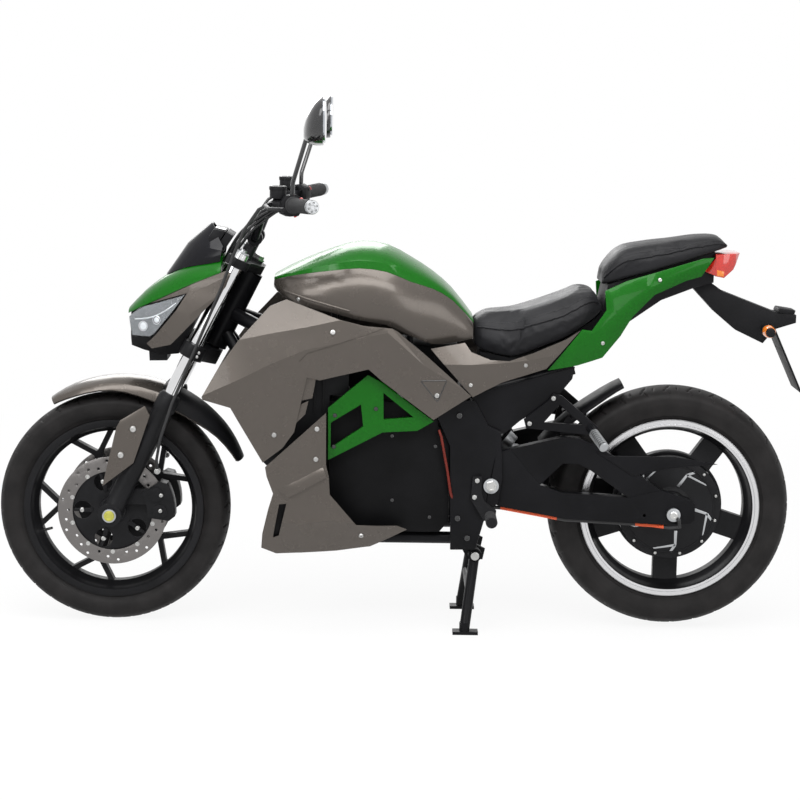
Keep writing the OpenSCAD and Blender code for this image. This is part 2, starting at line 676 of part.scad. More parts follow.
module disc_carriers() {
  color(black) at_front_axle() both() difference() {
    y_bar(carrier_d, hub_half, hub_half + carrier_t);
    y_bar(44, 0, 200);
    for (k = [0:4]) rotate([0, 72 * k, 0]) translate([76, 0, 0]) y_bar(46, 0, 200);
  }
}
disc_holes = 30;
module front_discs() {
  color(silver) at_front_axle() both() difference() {
    y_bar(front_disc_d, hub_half + carrier_t, hub_half + carrier_t + disc_t);
    y_bar(carrier_d - 20, 0, 200);
    for (k = [0:disc_holes - 1]) {
      rotate([0, 360 * k / disc_holes, 0]) translate([112 + 8 * (k % 3), 0, 0]) y_bar(7, 0, 200);
    }
  }
}
rear_spoke_w = 62;
module rear_rim() {
  color(black) at_rear_axle() difference() {
    union() {
      wheel_turn(rim_profile(rear_rim_half, 11));
      intersection() {
        for (k = [0:spoke_count - 1]) rotate([0, 72 * k + 18, 0]) {
          translate([motor_d / 2 - 10, -spoke_t / 2, -rear_spoke_w / 2]) cube([110, spoke_t, rear_spoke_w]);
        }
        y_bar(bead_d - 34, -20, 20);
      }
      y_bar(motor_d + 16, -15, 15);
    }
    y_bar(motor_d + 2 * seat_gap, -200, 200);
  }
}
module hub_motor() {
  color(black) at_rear_axle() difference() {
    union() {
      y_bar(motor_d, -motor_body_half, motor_body_half);
      y_bar(motor_d - 36, -motor_body_half - 5, motor_body_half + 12);
      y_bar(92, -motor_half_w, motor_half_w);
    }
    y_bar(rear_axle_d + 2 * run_gap, -200, 200);
  }
}
rear_disc_y = -motor_half_w;
module rear_disc() {
  color(silver) at_rear_axle() difference() {
    y_bar(rear_disc_d, rear_disc_y - disc_t, rear_disc_y);
    y_bar(40, -200, 200);
    for (k = [0:4]) rotate([0, 72 * k, 0]) translate([64, 0, 0]) y_bar(40, -200, 200);
  }
}
caliper_t = arm_y0 - 61;
module rear_caliper() {
  color(black) at_rear_axle() difference() {
    rotate([0, -52, 0]) translate([84, -arm_y0, -34]) cube([40, caliper_t, 68]);
    y_bar(rear_disc_d + 2 * spin_gap, rear_disc_y - disc_t - spin_gap, rear_disc_y + spin_gap);
  }
}

// Fork
slider_top = 331;
lug_d = 58;
axle_lug_y = 80;
module fork_lowers() {
  color(black) in_fork() both() translate([0, leg_y, 0]) difference() {
    union() {
      cylinder(h = slider_top, d = slider_d);
      translate([0, 0, slider_top - 34]) cylinder(h = 34, d = slider_d + 6);
      y_bar(lug_d, axle_lug_y - leg_y, 27);
      translate([-20, axle_lug_y - leg_y - 6, 262]) cube([40, 24, 46]);
    }
    translate([0, 0, 280]) cylinder(h = 200, d = stanchion_d + 2 * run_gap);
    y_bar(front_axle_d + 2 * run_gap, -100, 100);
  }
}
stanchion_low = 282;
module stanchions() {
  color(silver) in_fork() both() {
    translate([0, leg_y, stanchion_low]) cylinder(h = fork_length - stanchion_low, d = stanchion_d);
  }
}
// Middle of the handlebar in the fork frame, and counted from the front axle
bar_local_x = -9.828;
bar_rise = 43.141;
bar_local_z = fork_length + bar_rise;
bar_mid = fork_point(bar_local_x, bar_local_z);
clamp_d = 38;
yoke_front = 26;
stem_top = upper_yoke + upper_yoke_t + 8;
riser_y = 45;
riser_d = 30;
riser_top = bar_local_z - clamp_d / 2 - seat_gap;
module yoke_plan(hole) {
  difference() {
    union() {
      for (s = [-1, 1]) translate([0, s * leg_y]) circle(d = stanchion_d + 24);
      polygon([
        [yoke_front, -leg_y], [yoke_front, leg_y], [-22, leg_y],
        [-yoke_offset - 26, 30], [-yoke_offset - 26, -30], [-22, -leg_y]]);
    }
    for (s = [-1, 1]) translate([0, s * leg_y]) circle(d = hole);
  }
}
module yokes() {
  color(black) in_fork() {
    translate([0, 0, lower_yoke]) linear_extrude(yoke_t) yoke_plan(stanchion_d + 2 * run_gap);
    translate([0, 0, upper_yoke]) linear_extrude(upper_yoke_t) yoke_plan(stanchion_d + 2 * run_gap);
    translate([-yoke_offset, 0, lower_yoke]) cylinder(h = stem_top - lower_yoke, d = stem_d);
    for (s = [-1, 1]) {
      translate([bar_local_x, s * riser_y, upper_yoke]) cylinder(h = riser_top - upper_yoke, d = riser_d);
    }
  }
}
module front_axle() {
  color(silver) at_front_axle() {
    y_bar(front_axle_d, -140, 140);
    both() y_bar(32, hub_half + 2, axle_lug_y - 0.02);
    both() y_bar(34, leg_y + 27.02, leg_y + 36);
  }
}
// Space kept round the left fork leg
module leg_clear() {
  rotate([0, -rake, 0]) translate([0, leg_y, -40]) cylinder(h = 500, d = slider_d + 2 * seat_gap);
}
disc_out_y = hub_half + carrier_t + disc_t;
// Body of a front caliper: an arc between two radii and two angles, with its corners cut
function round_point(r, a) = [r * cos(a), 0, r * sin(a)];
function arc_line(r, a0, a1, n) = [for (k = [0:n]) let (a = a0 + (a1 - a0) * k / max(n, 1))
  [r * cos(a), r * sin(a)]];
caliper_r = [90, 160];
caliper_a = [147, 188];
caliper_mid_r = 122;
caliper_pistons = [157, 178];
caliper_in_y = 52;
caliper_out_y = 96;
caliper_outline = concat(
  arc_line(caliper_r[1], caliper_a[0] + 5, caliper_a[1] - 5, 5),
  arc_line(caliper_r[1] - 14, caliper_a[1], caliper_a[1], 0),
  arc_line(caliper_r[0], caliper_a[1], caliper_a[0], 5),
  arc_line(caliper_r[1] - 14, caliper_a[0], caliper_a[0], 0));
module front_calipers() {
  color(black) at_front_axle() both() difference() {
    union() {
      side_plate(caliper_outline, caliper_in_y, caliper_out_y);
      for (a = caliper_pistons) translate(round_point(caliper_mid_r, a)) y_bar(36, 80, caliper_out_y + 5);
      translate([-112, 80, 20]) cube([80, 10, 40]);
    }
    y_bar(front_disc_d + 2 * spin_gap, hub_half - spin_gap, disc_out_y + spin_gap);
    y_bar(front_disc_d - 90, 0, 79);
    y_bar(lug_d + 2 * seat_gap, 0, 200);
    leg_clear();
  }
}
// Front fender: angle, crown radius, edge radius, half width
fender_rows = [
  [60, 322, 306, 30], [72, 330, 306, 62], [90, 338, 308, 68], [110, 346, 300, 70], [128, 350, 306, 70],
  [144, 352, 326, 64], [158, 350, 338, 48]];
module front_fender() {
  color(graphite) {
    at_front_axle() wheel_strip(fender_rows, 4);
    in_fork() both() {
      translate([-18, 64, 270]) cube([36, 4, 44]);
      translate([0, 0, 286]) y_bar(16, 66, axle_lug_y - 6);
    }
  }
}
guard_y = leg_y + slider_d / 2;
fork_guard_outline = [[-29, 535], [-90, 572], [-102, 548], [-61, 428], [17, 368], [-19, 517]];
// Bosses of a fork guard in the fork frame: x, z
guard_bosses = [[20, 170], [30, 236]];
module fork_guards() {
  color(graphite) both() {
    steered() side_plate(fork_guard_outline, guard_y + 2, guard_y + 6);
    difference() {
      in_fork() for (b = guard_bosses) translate([b[0], 0, b[1]]) y_bar(16, leg_y + 5, guard_y + 3);
      at_front_axle() leg_clear();
    }
  }
}

// Handlebar and controls
bar_half = [[0, 70, 0], [-24, 140, 67], [-84, 200, 94], [-151, 368, 100]];
bar_points = concat([for (i = [3:-1:0]) flip_y(bar_half[i])], bar_half);
function along(a, b, t) = a + (b - a) * t;
function on_bar(t) = along(bar_half[2], bar_half[3], t);
grip_a = on_bar(0.29);
grip_b = on_bar(0.97);
module handlebar() {
  color(black) on_bar_frame() {
    swept_bar(bar_points, bar_d, 45);
    both() y_bar(clamp_d, riser_y - 12, riser_y + 12);
  }
}
module grips() {
  color(dark) on_bar_frame() both() difference() {
    rod(grip_a, grip_b, grip_d);
    rod(on_bar(0.1), on_bar(1.2), bar_d + 2 * run_gap);
  }
}
lever_points = [[-56, 222, 97], [-36, 244, 93], [-50, 300, 89], [-88, 374, 93]];
reservoir_place = [-66, 224, 111];
perch_root = on_bar(0.195);
module hand_controls() {
  color(black) on_bar_frame() both() {
    difference() {
      union() {
        rod(on_bar(0.1), on_bar(0.28), 40);
        rod(perch_root, lever_points[0], 30);
        swept_bar(lever_points, 11, 24);
        translate(reservoir_place) cylinder(h = 26, d = 40);
        translate(reservoir_place - [0, 0, 18]) cylinder(h = 19, d = 16);
      }
      rod(on_bar(-0.1), on_bar(0.6), bar_d + 2 * run_gap);
    }
  }
}

// Brake hoses, from the lever perches to the calipers
perch_dir = unit(lever_points[0] - perch_root);
hose_root = lever_points[0] + seat_gap * perch_dir + 10 * unit(cross(perch_dir, [0, 0, 1]));
hose_top = hose_root + [bar_mid[0], 0, bar_mid[1]];
hose_left = concat([hose_top, hose_top + 12 * perch_dir], [
  [-374, 198, 1066], [-338, 178, 1014], [-310, 158, 950], [-280, 147, 870], [-240, 146, 775],
  [-200, 146, 680], [-158, 145, 580], [-128, 142, 490], [-118, 130, 436], [-118, 112, 404]]);
module brake_hoses() { color(black) steered() both() hose(hose_left, 8); }

// Mirrors: x, centre y and z, half width, half height
mirror_rows = [
  [-130, 296, 269, 20, 14], [-140, 298, 279, 52, 34], [-158, 300, 291, 72, 50], [-176, 302, 299, 78, 57]];
glass_rows = [[-176.4, 302, 299, 72, 51], [-181, 302, 299, 72, 51]];
mirror_stem = [[-101, 242, 116], [-102, 244, 149], [-138, 290, 265]];
function bulge(v) = sign(v) * pow(abs(v), 0.75);
function mirror_ring(r) = [for (k = [0:19]) let (a = 90 - 360 * k / 20)
  [r[0], r[1] + r[3] * bulge(cos(a)), r[2] + r[4] * bulge(sin(a)) + 0.18 * r[3] * cos(a)]];
module mirrors() {
  color(black) on_bar_frame() both() {
    loft([for (r = smooth_rows(mirror_rows, 2)) mirror_ring(r)]);
    swept_bar(mirror_stem, 11, 30);
  }
}
module mirror_glass() { color(silver) on_bar_frame() both() loft([for (r = glass_rows) mirror_ring(r)]); }

// Headlight cowl
// Side panels: x, then z and y from the top edge to the bottom edge
cowl_rows = [
  [-30, 786, 36, 770, 46, 740, 48, 715, 40], [-80, 814, 76, 790, 84, 745, 84, 700, 72],
  [-130, 838, 94, 815, 102, 760, 104, 690, 92], [-200, 872, 111, 850, 120, 800, 127, 700, 126],
  [-300, 914, 125, 900, 131, 870, 134, 760, 134]];
cowl_outline = [
  [-98, 822], [-201, 872], [-290, 912], [-302, 904], [-290, 871], [-260, 836], [-188, 760], [-151, 722],
  [-102, 709], [-89, 721], [-114, 746], [-166, 809], [-193, 852]];
lens_outline = [
  [-42, 785], [-75, 814], [-98, 820], [-190, 850], [-162, 810], [-111, 747], [-98, 738], [-50, 738]];
lens_t = 10;
seam = 0.4;
module cowl_sides() {
  color(graphite) steered() both() intersection() {
    panel(cowl_rows);
    side_plate(cowl_outline, 20, 200);
  }
}
module headlamp() {
  color(silver) steered() both() intersection() {
    panel(cowl_rows, lens_t);
    side_plate(lens_outline, 20, 200);
  }
}
// Core behind the lamp, ahead of the fork tubes
core_outline = [[-46, 640], [-46, 960], [-300, 960], [-270, 900], [-170, 700], [-140, 640]];
chin_outline = [[-90, 712], [-138, 712], [-136, 674], [-92, 673]];
function core_half(r) = [[r[2] - 4, r[1]], [r[4] - 4, r[3]], [r[6] - 4, r[5]], [0.62 * r[8], r[7]]];
// Bosses behind the side panels: x, z, end y, diameter
core_bosses = [[-225, 845, 119.2, 16], [-130, 735, 93.3, 10]];
stay_d = 14;
module cowl_core() {
  color(black) {
    steered() {
      difference() {
        intersection() {
          loft([for (r = cowl_rows) ring_at(r[0], core_half(r))]);
          side_plate(core_outline, -200, 200);
        }
        both() panel(cowl_rows, lens_t + seam);
      }
      both() for (b = core_bosses) translate([b[0], 0, b[1]]) y_bar(b[3], 40, b[2]);
      side_plate(chin_outline, -44, 44);
    }
    in_fork() both() translate([yoke_front + seat_gap, 50, lower_yoke + yoke_t / 2]) {
      rotate([0, 90, 0]) cylinder(h = 60, d = stay_d);
    }
  }
}
// Hood: x, top z, edge y, edge z
hood_rows = [
  [-38, 804, 34, 791], [-80, 848, 74, 814 + seam], [-130, 886, 92, 838 + seam], [-200, 922, 108, 872 + seam],
  [-276, 943, 120, 904.3]];
hood_stations = smooth_rows(hood_rows, 2);
function hood_skin(r) = let (rise = r[1] - r[3])
  [[0, r[1]], [0.5 * r[2], r[1] - 0.1 * rise], [0.85 * r[2], r[1] - 0.5 * rise], [r[2], r[3]]];
function hood_half(r) = concat(hood_skin(r), [[0, r[3]]]);
module cowl_top() { color(green) steered() loft([for (r = hood_stations) ring_at(r[0], hood_half(r))]); }
// Height of the hood's skin at x and y
function hood_z(x, y) = let (
    top = lookup(x, [for (r = hood_stations) [r[0], r[1]]]),
    edge = lookup(x, [for (r = hood_stations) [r[0], r[3]]]),
    w = lookup(x, [for (r = hood_stations) [r[0], r[2]]]))
  lookup(abs(y), hood_skin([x, top, w, edge]));
// Fly screen: centre x and z, edge x, y and z
screen_rows = [[-130, 890, -272, 90, 936], [-185, 968, -276, 88, 956], [-246, 1022, -278, 74, 966]];
screen_steps = 6;
screen_lift = 1.8;
function screen_point(r, q, in) = let (n = unit([0.85 - 0.75 * abs(q), 0.9 * q, 0.45]),
    x = r[0] + (r[2] - r[0]) * q * q - in * n[0], y = r[3] * q - in * n[1])
  [x, y, r == screen_rows[0] ? hood_z(x, y) + screen_lift : r[1] + (r[4] - r[1]) * q * q - in * n[2]];
function screen_ring(i, t) = let (r = screen_rows[i], n = screen_steps) concat(
  [for (k = [-n:n]) screen_point(r, k / n, 0)],
  [for (k = [n:-1:-n]) screen_point(r, k / n, t)]);
module fly_screen() { color(black) steered() loft([for (i = [0:2]) screen_ring(i, 4)], thin = true); }
dash_outline = [[-270, 942], [-258, 956], [-286, 1000], [-302, 990]];
module dash() { color(dark) steered() side_plate(dash_outline, -60, 60); }

// Cable of the hub motor
cable_points = [
  [-118.2, 118, 505], [-128, 121, 498], [-134, 123, 470], [-137, 123, 420], [-142, 123, 370],
  [-158, 121, 338], [-190, 117, 326], [-250, 116, 322.6], [-330, 116, 308.6], [-410, 116, 294.4],
  [-520, 116, 289], [-630, 118, 283.6], [-672, 126, 280], [-696, 144, 286], [-692, 151, 306]];
module motor_cable() { color("#d8481e") body() hose(cable_points, 10); }

main_frame();
pivot_plates();
battery_case();
controller_box();
trellis_panels();
tank_top();
tank_body();
side_shrouds();
belly_pan();
tail_sides();
tail_cowl();
rider_seat();
pillion_seat();
undertail();
tail_lamp();
plate_hanger();
rear_indicators();
subframe();
swingarm();
arm_braces();
swingarm_tubes();
swingarm_guard();
rear_axle();
hugger();
shock();
rider_pegs();
pillion_pegs();
stand_bracket();
rear_caliper();
motor_cable();
centre_stand();
rear_tyre();
rear_rim();
hub_motor();
rear_disc();
front_tyre();
front_rim();
disc_carriers();
front_discs();
fork_lowers();
stanchions();
yokes();
front_axle();
front_calipers();
brake_hoses();
front_fender();
fork_guards();
handlebar();
grips();
hand_controls();
mirrors();
mirror_glass();
cowl_core();
cowl_top();
cowl_sides();
headlamp();
fly_screen();
dash();
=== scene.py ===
import math
import bpy
import bmesh
import numpy as np
from mathutils import Matrix, Vector
from mathutils.bvhtree import BVHTree

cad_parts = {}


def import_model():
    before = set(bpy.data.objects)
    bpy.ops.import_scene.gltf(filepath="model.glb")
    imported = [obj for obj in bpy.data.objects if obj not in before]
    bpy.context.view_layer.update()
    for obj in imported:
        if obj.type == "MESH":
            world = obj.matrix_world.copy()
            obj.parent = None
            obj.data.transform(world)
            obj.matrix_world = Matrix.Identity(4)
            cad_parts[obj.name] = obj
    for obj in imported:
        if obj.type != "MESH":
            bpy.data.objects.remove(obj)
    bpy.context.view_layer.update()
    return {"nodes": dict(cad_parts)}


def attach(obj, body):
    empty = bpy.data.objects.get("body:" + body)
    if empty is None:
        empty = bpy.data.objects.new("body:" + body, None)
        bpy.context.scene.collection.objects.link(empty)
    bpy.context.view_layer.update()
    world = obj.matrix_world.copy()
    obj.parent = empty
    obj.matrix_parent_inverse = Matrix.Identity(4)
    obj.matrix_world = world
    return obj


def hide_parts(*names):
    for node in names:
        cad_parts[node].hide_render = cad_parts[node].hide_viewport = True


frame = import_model()
NODES = frame["nodes"]

# Places in the CAD frame, in metres
BODY_X = -0.010  # the plane from which the drawing counts x
FRONT = Vector((0.720, 0, 0.293))  # front axle
REAR = Vector((-0.690, 0, 0.315))  # rear axle
BAR = Vector((0.364, 0, 0.985))  # handlebar, at its clamp
RAKE = math.radians(26.5)
UP = Vector((0, 0, 1))
SIDES = (1, -1)  # left and right
BESIDE = 0.6  # clear of the part, sideways
WELD = 1e-5


def mm(x, y, z):
    """A point of the drawing, in millimetres."""
    return Vector((x / 1000 + BODY_X, y / 1000, z / 1000))


def in_fork(x, y, z):
    """A point of the fork, in millimetres from the axle: x forward, z up along the legs."""
    c, s = math.cos(RAKE), math.sin(RAKE)
    return FRONT + Vector((x * c - z * s, y, x * s + z * c)) / 1000


# Materials
def new_material(name):
    mat = bpy.data.materials.new(name)
    mat.use_nodes = True
    return mat, mat.node_tree, mat.node_tree.nodes["Principled BSDF"]


def feed(nt, n, inputs):
    """Give a node's inputs their values, or the sockets that they come from."""
    for key, value in inputs.items():
        if isinstance(value, bpy.types.NodeSocket):
            nt.links.new(value, n.inputs[key])
        else:
            n.inputs[key].default_value = value


def node(nt, kind, inputs, **settings):
    n = nt.nodes.new("ShaderNode" + kind)
    for key, value in settings.items():
        setattr(n, key, value)
    feed(nt, n, inputs)
    return n


def place(nt):
    return node(nt, "TexCoord", {}).outputs["Object"]


def noise(nt, scale, detail=3.0, rough=0.5):
    inputs = {"Vector": place(nt), "Scale": scale, "Detail": detail, "Roughness": rough}
    return node(nt, "TexNoise", inputs).outputs["Fac"]


def ramp(nt, fac, base, low, high, ends=(0.0, 1.0)):
    """From a darker to a lighter shade of a colour."""
    n = node(nt, "ValToRGB", {"Fac": fac})
    for element, end, shade in zip(n.color_ramp.elements, ends, (low, high)):
        element.position = end
        element.color = [min(1, c * shade) for c in base] + [1]
    return n.outputs["Color"]


def spread(nt, value, low, high, ends=(0.0, 1.0)):
    inputs = {"Value": value, "From Min": ends[0], "From Max": ends[1], "To Min": low, "To Max": high}
    return node(nt, "MapRange", inputs).outputs["Result"]


def relief(nt, height, strength, depth):
    inputs = {"Height": height, "Strength": strength, "Distance": depth}
    return node(nt, "Bump", inputs).outputs["Normal"]


def blend(nt, fac, a, b):
    return node(nt, "Mix", {0: fac, 6: a, 7: b}, data_type="RGBA").outputs[2]


def math_node(nt, operation, *values):
    return node(nt, "Math", dict(enumerate(values)), operation=operation).outputs[0]


def finish(name, base, rough, metal=0.0, coat=0.0, vary=0.12, patch=9.0, grain=600.0, bump=0.05,
           depth=0.0006, rough_vary=0.06, spec=0.5, flake=0.0, sheen=0.0):
    """Surface with colour patches, uneven roughness and a fine grain."""
    mat, nt, bsdf = new_material(name)
    colour = ramp(nt, noise(nt, patch, 4.0), base, 1 - vary, 1 + vary, (0.36, 0.66))
    if flake:
        spark = noise(nt, 2600.0, 1.0)
        colour = blend(nt, 0.5, colour, ramp(nt, spark, base, 1 - flake, 1 + 1.6 * flake, (0.40, 0.62)))
    wear = noise(nt, patch * 3.1, 5.0, 0.6)
    low, high = max(0.02, rough - rough_vary), min(1.0, rough + rough_vary)
    feed(nt, bsdf, {
        "Base Color": colour,
        "Roughness": spread(nt, wear, low, high, (0.3, 0.7)),
        "Normal": relief(nt, noise(nt, grain), bump, depth),
        "Metallic": metal,
        "Coat Weight": coat,
        "Coat Roughness": 0.04,
        "Specular IOR Level": spec,
        "Sheen Weight": sheen,
    })
    return mat


def ringed(name, base, rough, centre, pitch, depth):
    """Turned or brushed metal: fine rings about an axle along y."""
    mat, nt, bsdf = new_material(name)
    shift = {"Vector": place(nt), "Location": (-centre.x, 0, -centre.z), "Scale": (1, 0, 1)}
    inputs = {"Vector": node(nt, "Mapping", shift).outputs["Vector"], "Scale": pitch,
              "Distortion": 1.2, "Detail": 2.0}
    wave = node(nt, "TexWave", inputs, wave_type="RINGS", rings_direction="SPHERICAL").outputs["Fac"]
    wear = noise(nt, 30.0, 5.0, 0.6)
    feed(nt, bsdf, {
        "Base Color": ramp(nt, wave, base, 0.82, 1.1),
        "Roughness": spread(nt, wear, max(0.05, rough - 0.08), rough + 0.08),
        "Normal": relief(nt, wave, 0.25, depth),
        "Metallic": 1.0,
    })
    return mat


def banded(name, base, mark, bands):
    """Ribbed sheath: one colour, and another between given x places."""
    mat = finish(name, base, 0.5, vary=0.15, grain=1200, bump=0.15, depth=0.0004)
    nt = mat.node_tree
    bsdf = nt.nodes["Principled BSDF"]
    x = node(nt, "SeparateXYZ", {0: place(nt)}).outputs["X"]
    marked = 0.0
    for low, high in bands:
        inside = math_node(nt, "COMPARE", x, (low + high) / 2, (high - low) / 2)
        marked = math_node(nt, "MAXIMUM", marked, inside)
    plain = bsdf.inputs["Base Color"].links[0].from_socket
    feed(nt, bsdf, {"Base Color": blend(nt, marked, plain, ramp(nt, noise(nt, 40.0), mark, 0.85, 1.15))})
    return mat


def clear(name, tint, rough=0.03, grain=40.0):
    """Clear moulded lens with faint flow marks."""
    mat, nt, bsdf = new_material(name)
    flow = noise(nt, grain, 2.0)
    feed(nt, bsdf, {
        "Base Color": tint + (1,),
        "Transmission Weight": 1.0,
        "IOR": 1.3,
        "Roughness": spread(nt, flow, rough, rough + 0.05),
        "Normal": relief(nt, flow, 0.03, 0.001),
    })
    return mat


PAINT = dict(vary=0.04, rough_vary=0.03, grain=90, bump=0.012)
GREEN = finish("green_paint", (0.0035, 0.102, 0.003), 0.28, metal=0.12, coat=0.22, spec=0.1, flake=0.05,
               **PAINT)
GRAPHITE = finish("graphite_paint", (0.096, 0.084, 0.074), 0.26, metal=0.62, coat=0.25, spec=0.12,
                  flake=0.06, **PAINT)
FRAME = finish("frame_paint", (0.006, 0.006, 0.007), 0.34, spec=0.10, vary=0.25, grain=260)
CAST = finish("cast_black", (0.009, 0.009, 0.010), 0.42, spec=0.14, metal=0.05, vary=0.25, grain=1500,
              bump=0.16, depth=0.0004)
CASE = finish("case_black", (0.005, 0.005, 0.0055), 0.50, spec=0.08, vary=0.25, grain=1800, bump=0.14,
              depth=0.0004)
PLASTIC = finish("grained_plastic", (0.008, 0.008, 0.009), 0.50, spec=0.12, vary=0.2, grain=1400,
                 bump=0.2, depth=0.0004)
GLOSS = finish("gloss_black", (0.012, 0.012, 0.013), 0.14, coat=0.6, vary=0.2, grain=120, bump=0.01)
VINYL = finish("seat_vinyl", (0.011, 0.011, 0.0125), 0.44, spec=0.16, vary=0.2, grain=900, bump=0.35,
               sheen=0.02)
THREAD = finish("seat_thread", (0.030, 0.030, 0.032), 0.7, vary=0.3, grain=2500, bump=0.4, depth=0.0004)
RUBBER = finish("tyre_rubber", (0.011, 0.010, 0.010), 0.58, spec=0.18, vary=0.3, patch=18, grain=1100,
                bump=0.2)
GRIP = finish("grip_rubber", (0.014, 0.014, 0.015), 0.66, vary=0.2, grain=1600, bump=0.3, depth=0.0004)
HOSE = finish("hose_rubber", (0.013, 0.013, 0.014), 0.45, vary=0.2, grain=1900, bump=0.3, depth=0.0003)
ALLOY = finish("satin_alloy", (0.42, 0.43, 0.44), 0.34, metal=1.0, vary=0.08, grain=1200, depth=0.0003)
STEEL = finish("zinc_steel", (0.50, 0.50, 0.49), 0.30, metal=1.0, vary=0.14, grain=900, depth=0.0003)
CHROME = finish("hard_chrome", (0.72, 0.72, 0.73), 0.10, metal=1.0, vary=0.04, grain=300, bump=0.01,
                rough_vary=0.03)
BRASS = finish("yellow_zinc", (0.48, 0.46, 0.10), 0.36, metal=0.8, vary=0.16, grain=900, bump=0.06,
               depth=0.0003)
SMOKE = finish("smoked_screen", (0.006, 0.006, 0.008), 0.12, coat=0.05, vary=0.2, grain=60, bump=0.006,
               spec=0.16)
RED = finish("red_lens", (0.55, 0.022, 0.012), 0.12, coat=0.8, vary=0.15, grain=260)
AMBER = finish("amber_lens", (0.75, 0.20, 0.015), 0.14, coat=0.7, vary=0.15, grain=260)
ORANGE = banded("cable_sheath", (0.012, 0.012, 0.013), (0.62, 0.075, 0.012),
                [(-0.400, -0.258), (-0.668, -0.597), (-0.142, -0.125)])
REDBIT = finish("red_button", (0.50, 0.02, 0.02), 0.3, coat=0.4, vary=0.1)
WHITE = finish("lamp_white", (0.80, 0.82, 0.84), 0.22, vary=0.05, coat=0.4)
LEAD = finish("lead_sheath", (0.13, 0.012, 0.006), 0.45, vary=0.15, grain=1200, bump=0.15, depth=0.0004,
              spec=0.3)
SILVERED = finish("lamp_reflector", (0.26, 0.27, 0.28), 0.22, metal=0.75, vary=0.10, patch=14, grain=120,
                  bump=0.02)
DISC_F = ringed("front_disc_steel", (0.19, 0.18, 0.175), 0.30, FRONT, 260, 0.0003)
DISC_R = ringed("rear_disc_steel", (0.19, 0.18, 0.175), 0.32, REAR, 260, 0.0003)
RIM_CUT = ringed("turned_rim", (0.66, 0.66, 0.67), 0.22, REAR, 320, 0.0002)
LENS = clear("lamp_lens", (0.96, 0.98, 1.0))
MIRROR = finish("mirror_silver", (0.48, 0.50, 0.53), 0.03, metal=1.0, vary=0.02, rough_vary=0.01,
                grain=20, bump=0.002)

LOOK = {
    GREEN: ["trellis_panels", "tank_top", "tail_cowl", "cowl_top"],
    GRAPHITE: ["tank_body", "side_shrouds", "belly_pan", "tail_sides", "front_fender", "fork_guards",
               "cowl_sides"],
    FRAME: ["main_frame", "pivot_plates", "subframe", "swingarm", "arm_braces", "swingarm_tubes",
            "swingarm_guard", "stand_bracket", "centre_stand", "pillion_pegs", "handlebar"],
    CAST: ["rear_rim", "front_rim", "hub_motor", "disc_carriers", "fork_lowers", "yokes", "rear_caliper",
           "front_calipers", "hand_controls", "rider_pegs"],
    CASE: ["battery_case", "controller_box"],
    PLASTIC: ["undertail", "plate_hanger", "rear_indicators", "hugger", "cowl_core", "dash"],
    GLOSS: ["mirrors"],
    SMOKE: ["fly_screen"],
    VINYL: ["rider_seat", "pillion_seat"],
    ALLOY: ["shock", "rear_axle", "front_axle"],
    DISC_F: ["front_discs"],
    DISC_R: ["rear_disc"],
    CHROME: ["stanchions"],
    RUBBER: ["rear_tyre", "front_tyre"],
    GRIP: ["grips"],
    HOSE: ["brake_hoses"],
    LENS: ["headlamp"],
    RED: ["tail_lamp"],
    MIRROR: ["mirror_glass"],
    ORANGE: ["motor_cable"],
}


# Smooth shading below an angle, as a modifier, so that the CAD meshes stay as they are
def smooth_group():
    g = bpy.data.node_groups.new("smooth_by_angle", "GeometryNodeTree")
    g.interface.new_socket("Geometry", in_out="INPUT", socket_type="NodeSocketGeometry")
    g.interface.new_socket("Angle", in_out="INPUT", socket_type="NodeSocketFloat")
    g.interface.new_socket("Geometry", in_out="OUTPUT", socket_type="NodeSocketGeometry")
    gi, go = g.nodes.new("NodeGroupInput"), g.nodes.new("NodeGroupOutput")
    faces = g.nodes.new("GeometryNodeSetShadeSmooth")
    faces.domain = "FACE"
    edges = g.nodes.new("GeometryNodeSetShadeSmooth")
    edges.domain = "EDGE"
    angle = g.nodes.new("GeometryNodeInputMeshEdgeAngle")
    less = g.nodes.new("FunctionNodeCompare")
    less.operation = "LESS_THAN"
    g.links.new(gi.outputs["Geometry"], faces.inputs["Geometry"])
    g.links.new(faces.outputs["Geometry"], edges.inputs["Geometry"])
    g.links.new(angle.outputs["Unsigned Angle"], less.inputs[0])
    g.links.new(gi.outputs["Angle"], less.inputs[1])
    g.links.new(less.outputs["Result"], edges.inputs["Shade Smooth"])
    g.links.new(edges.outputs["Geometry"], go.inputs["Geometry"])
    return g


SMOOTH = smooth_group()
ANGLE_KEY = [s.identifier for s in SMOOTH.interface.items_tree
             if s.in_out == "INPUT" and s.name == "Angle"][0]


def soften(obj, bevel=0.0, angle=32.0, shade=None):
    """Weld, round the sharp edges a little and shade the rest smooth up to an angle."""
    obj.modifiers.new("weld", "WELD").merge_threshold = WELD
    if bevel:
        edge = obj.modifiers.new("edge", "BEVEL")
        edge.width = bevel
        edge.segments = 2
        edge.limit_method = "ANGLE"
        edge.angle_limit = math.radians(angle)
        edge.use_clamp_overlap = True
    mod = obj.modifiers.new("shade", "NODES")
    mod.node_group = SMOOTH
    mod[ANGLE_KEY] = math.radians(shade or angle)


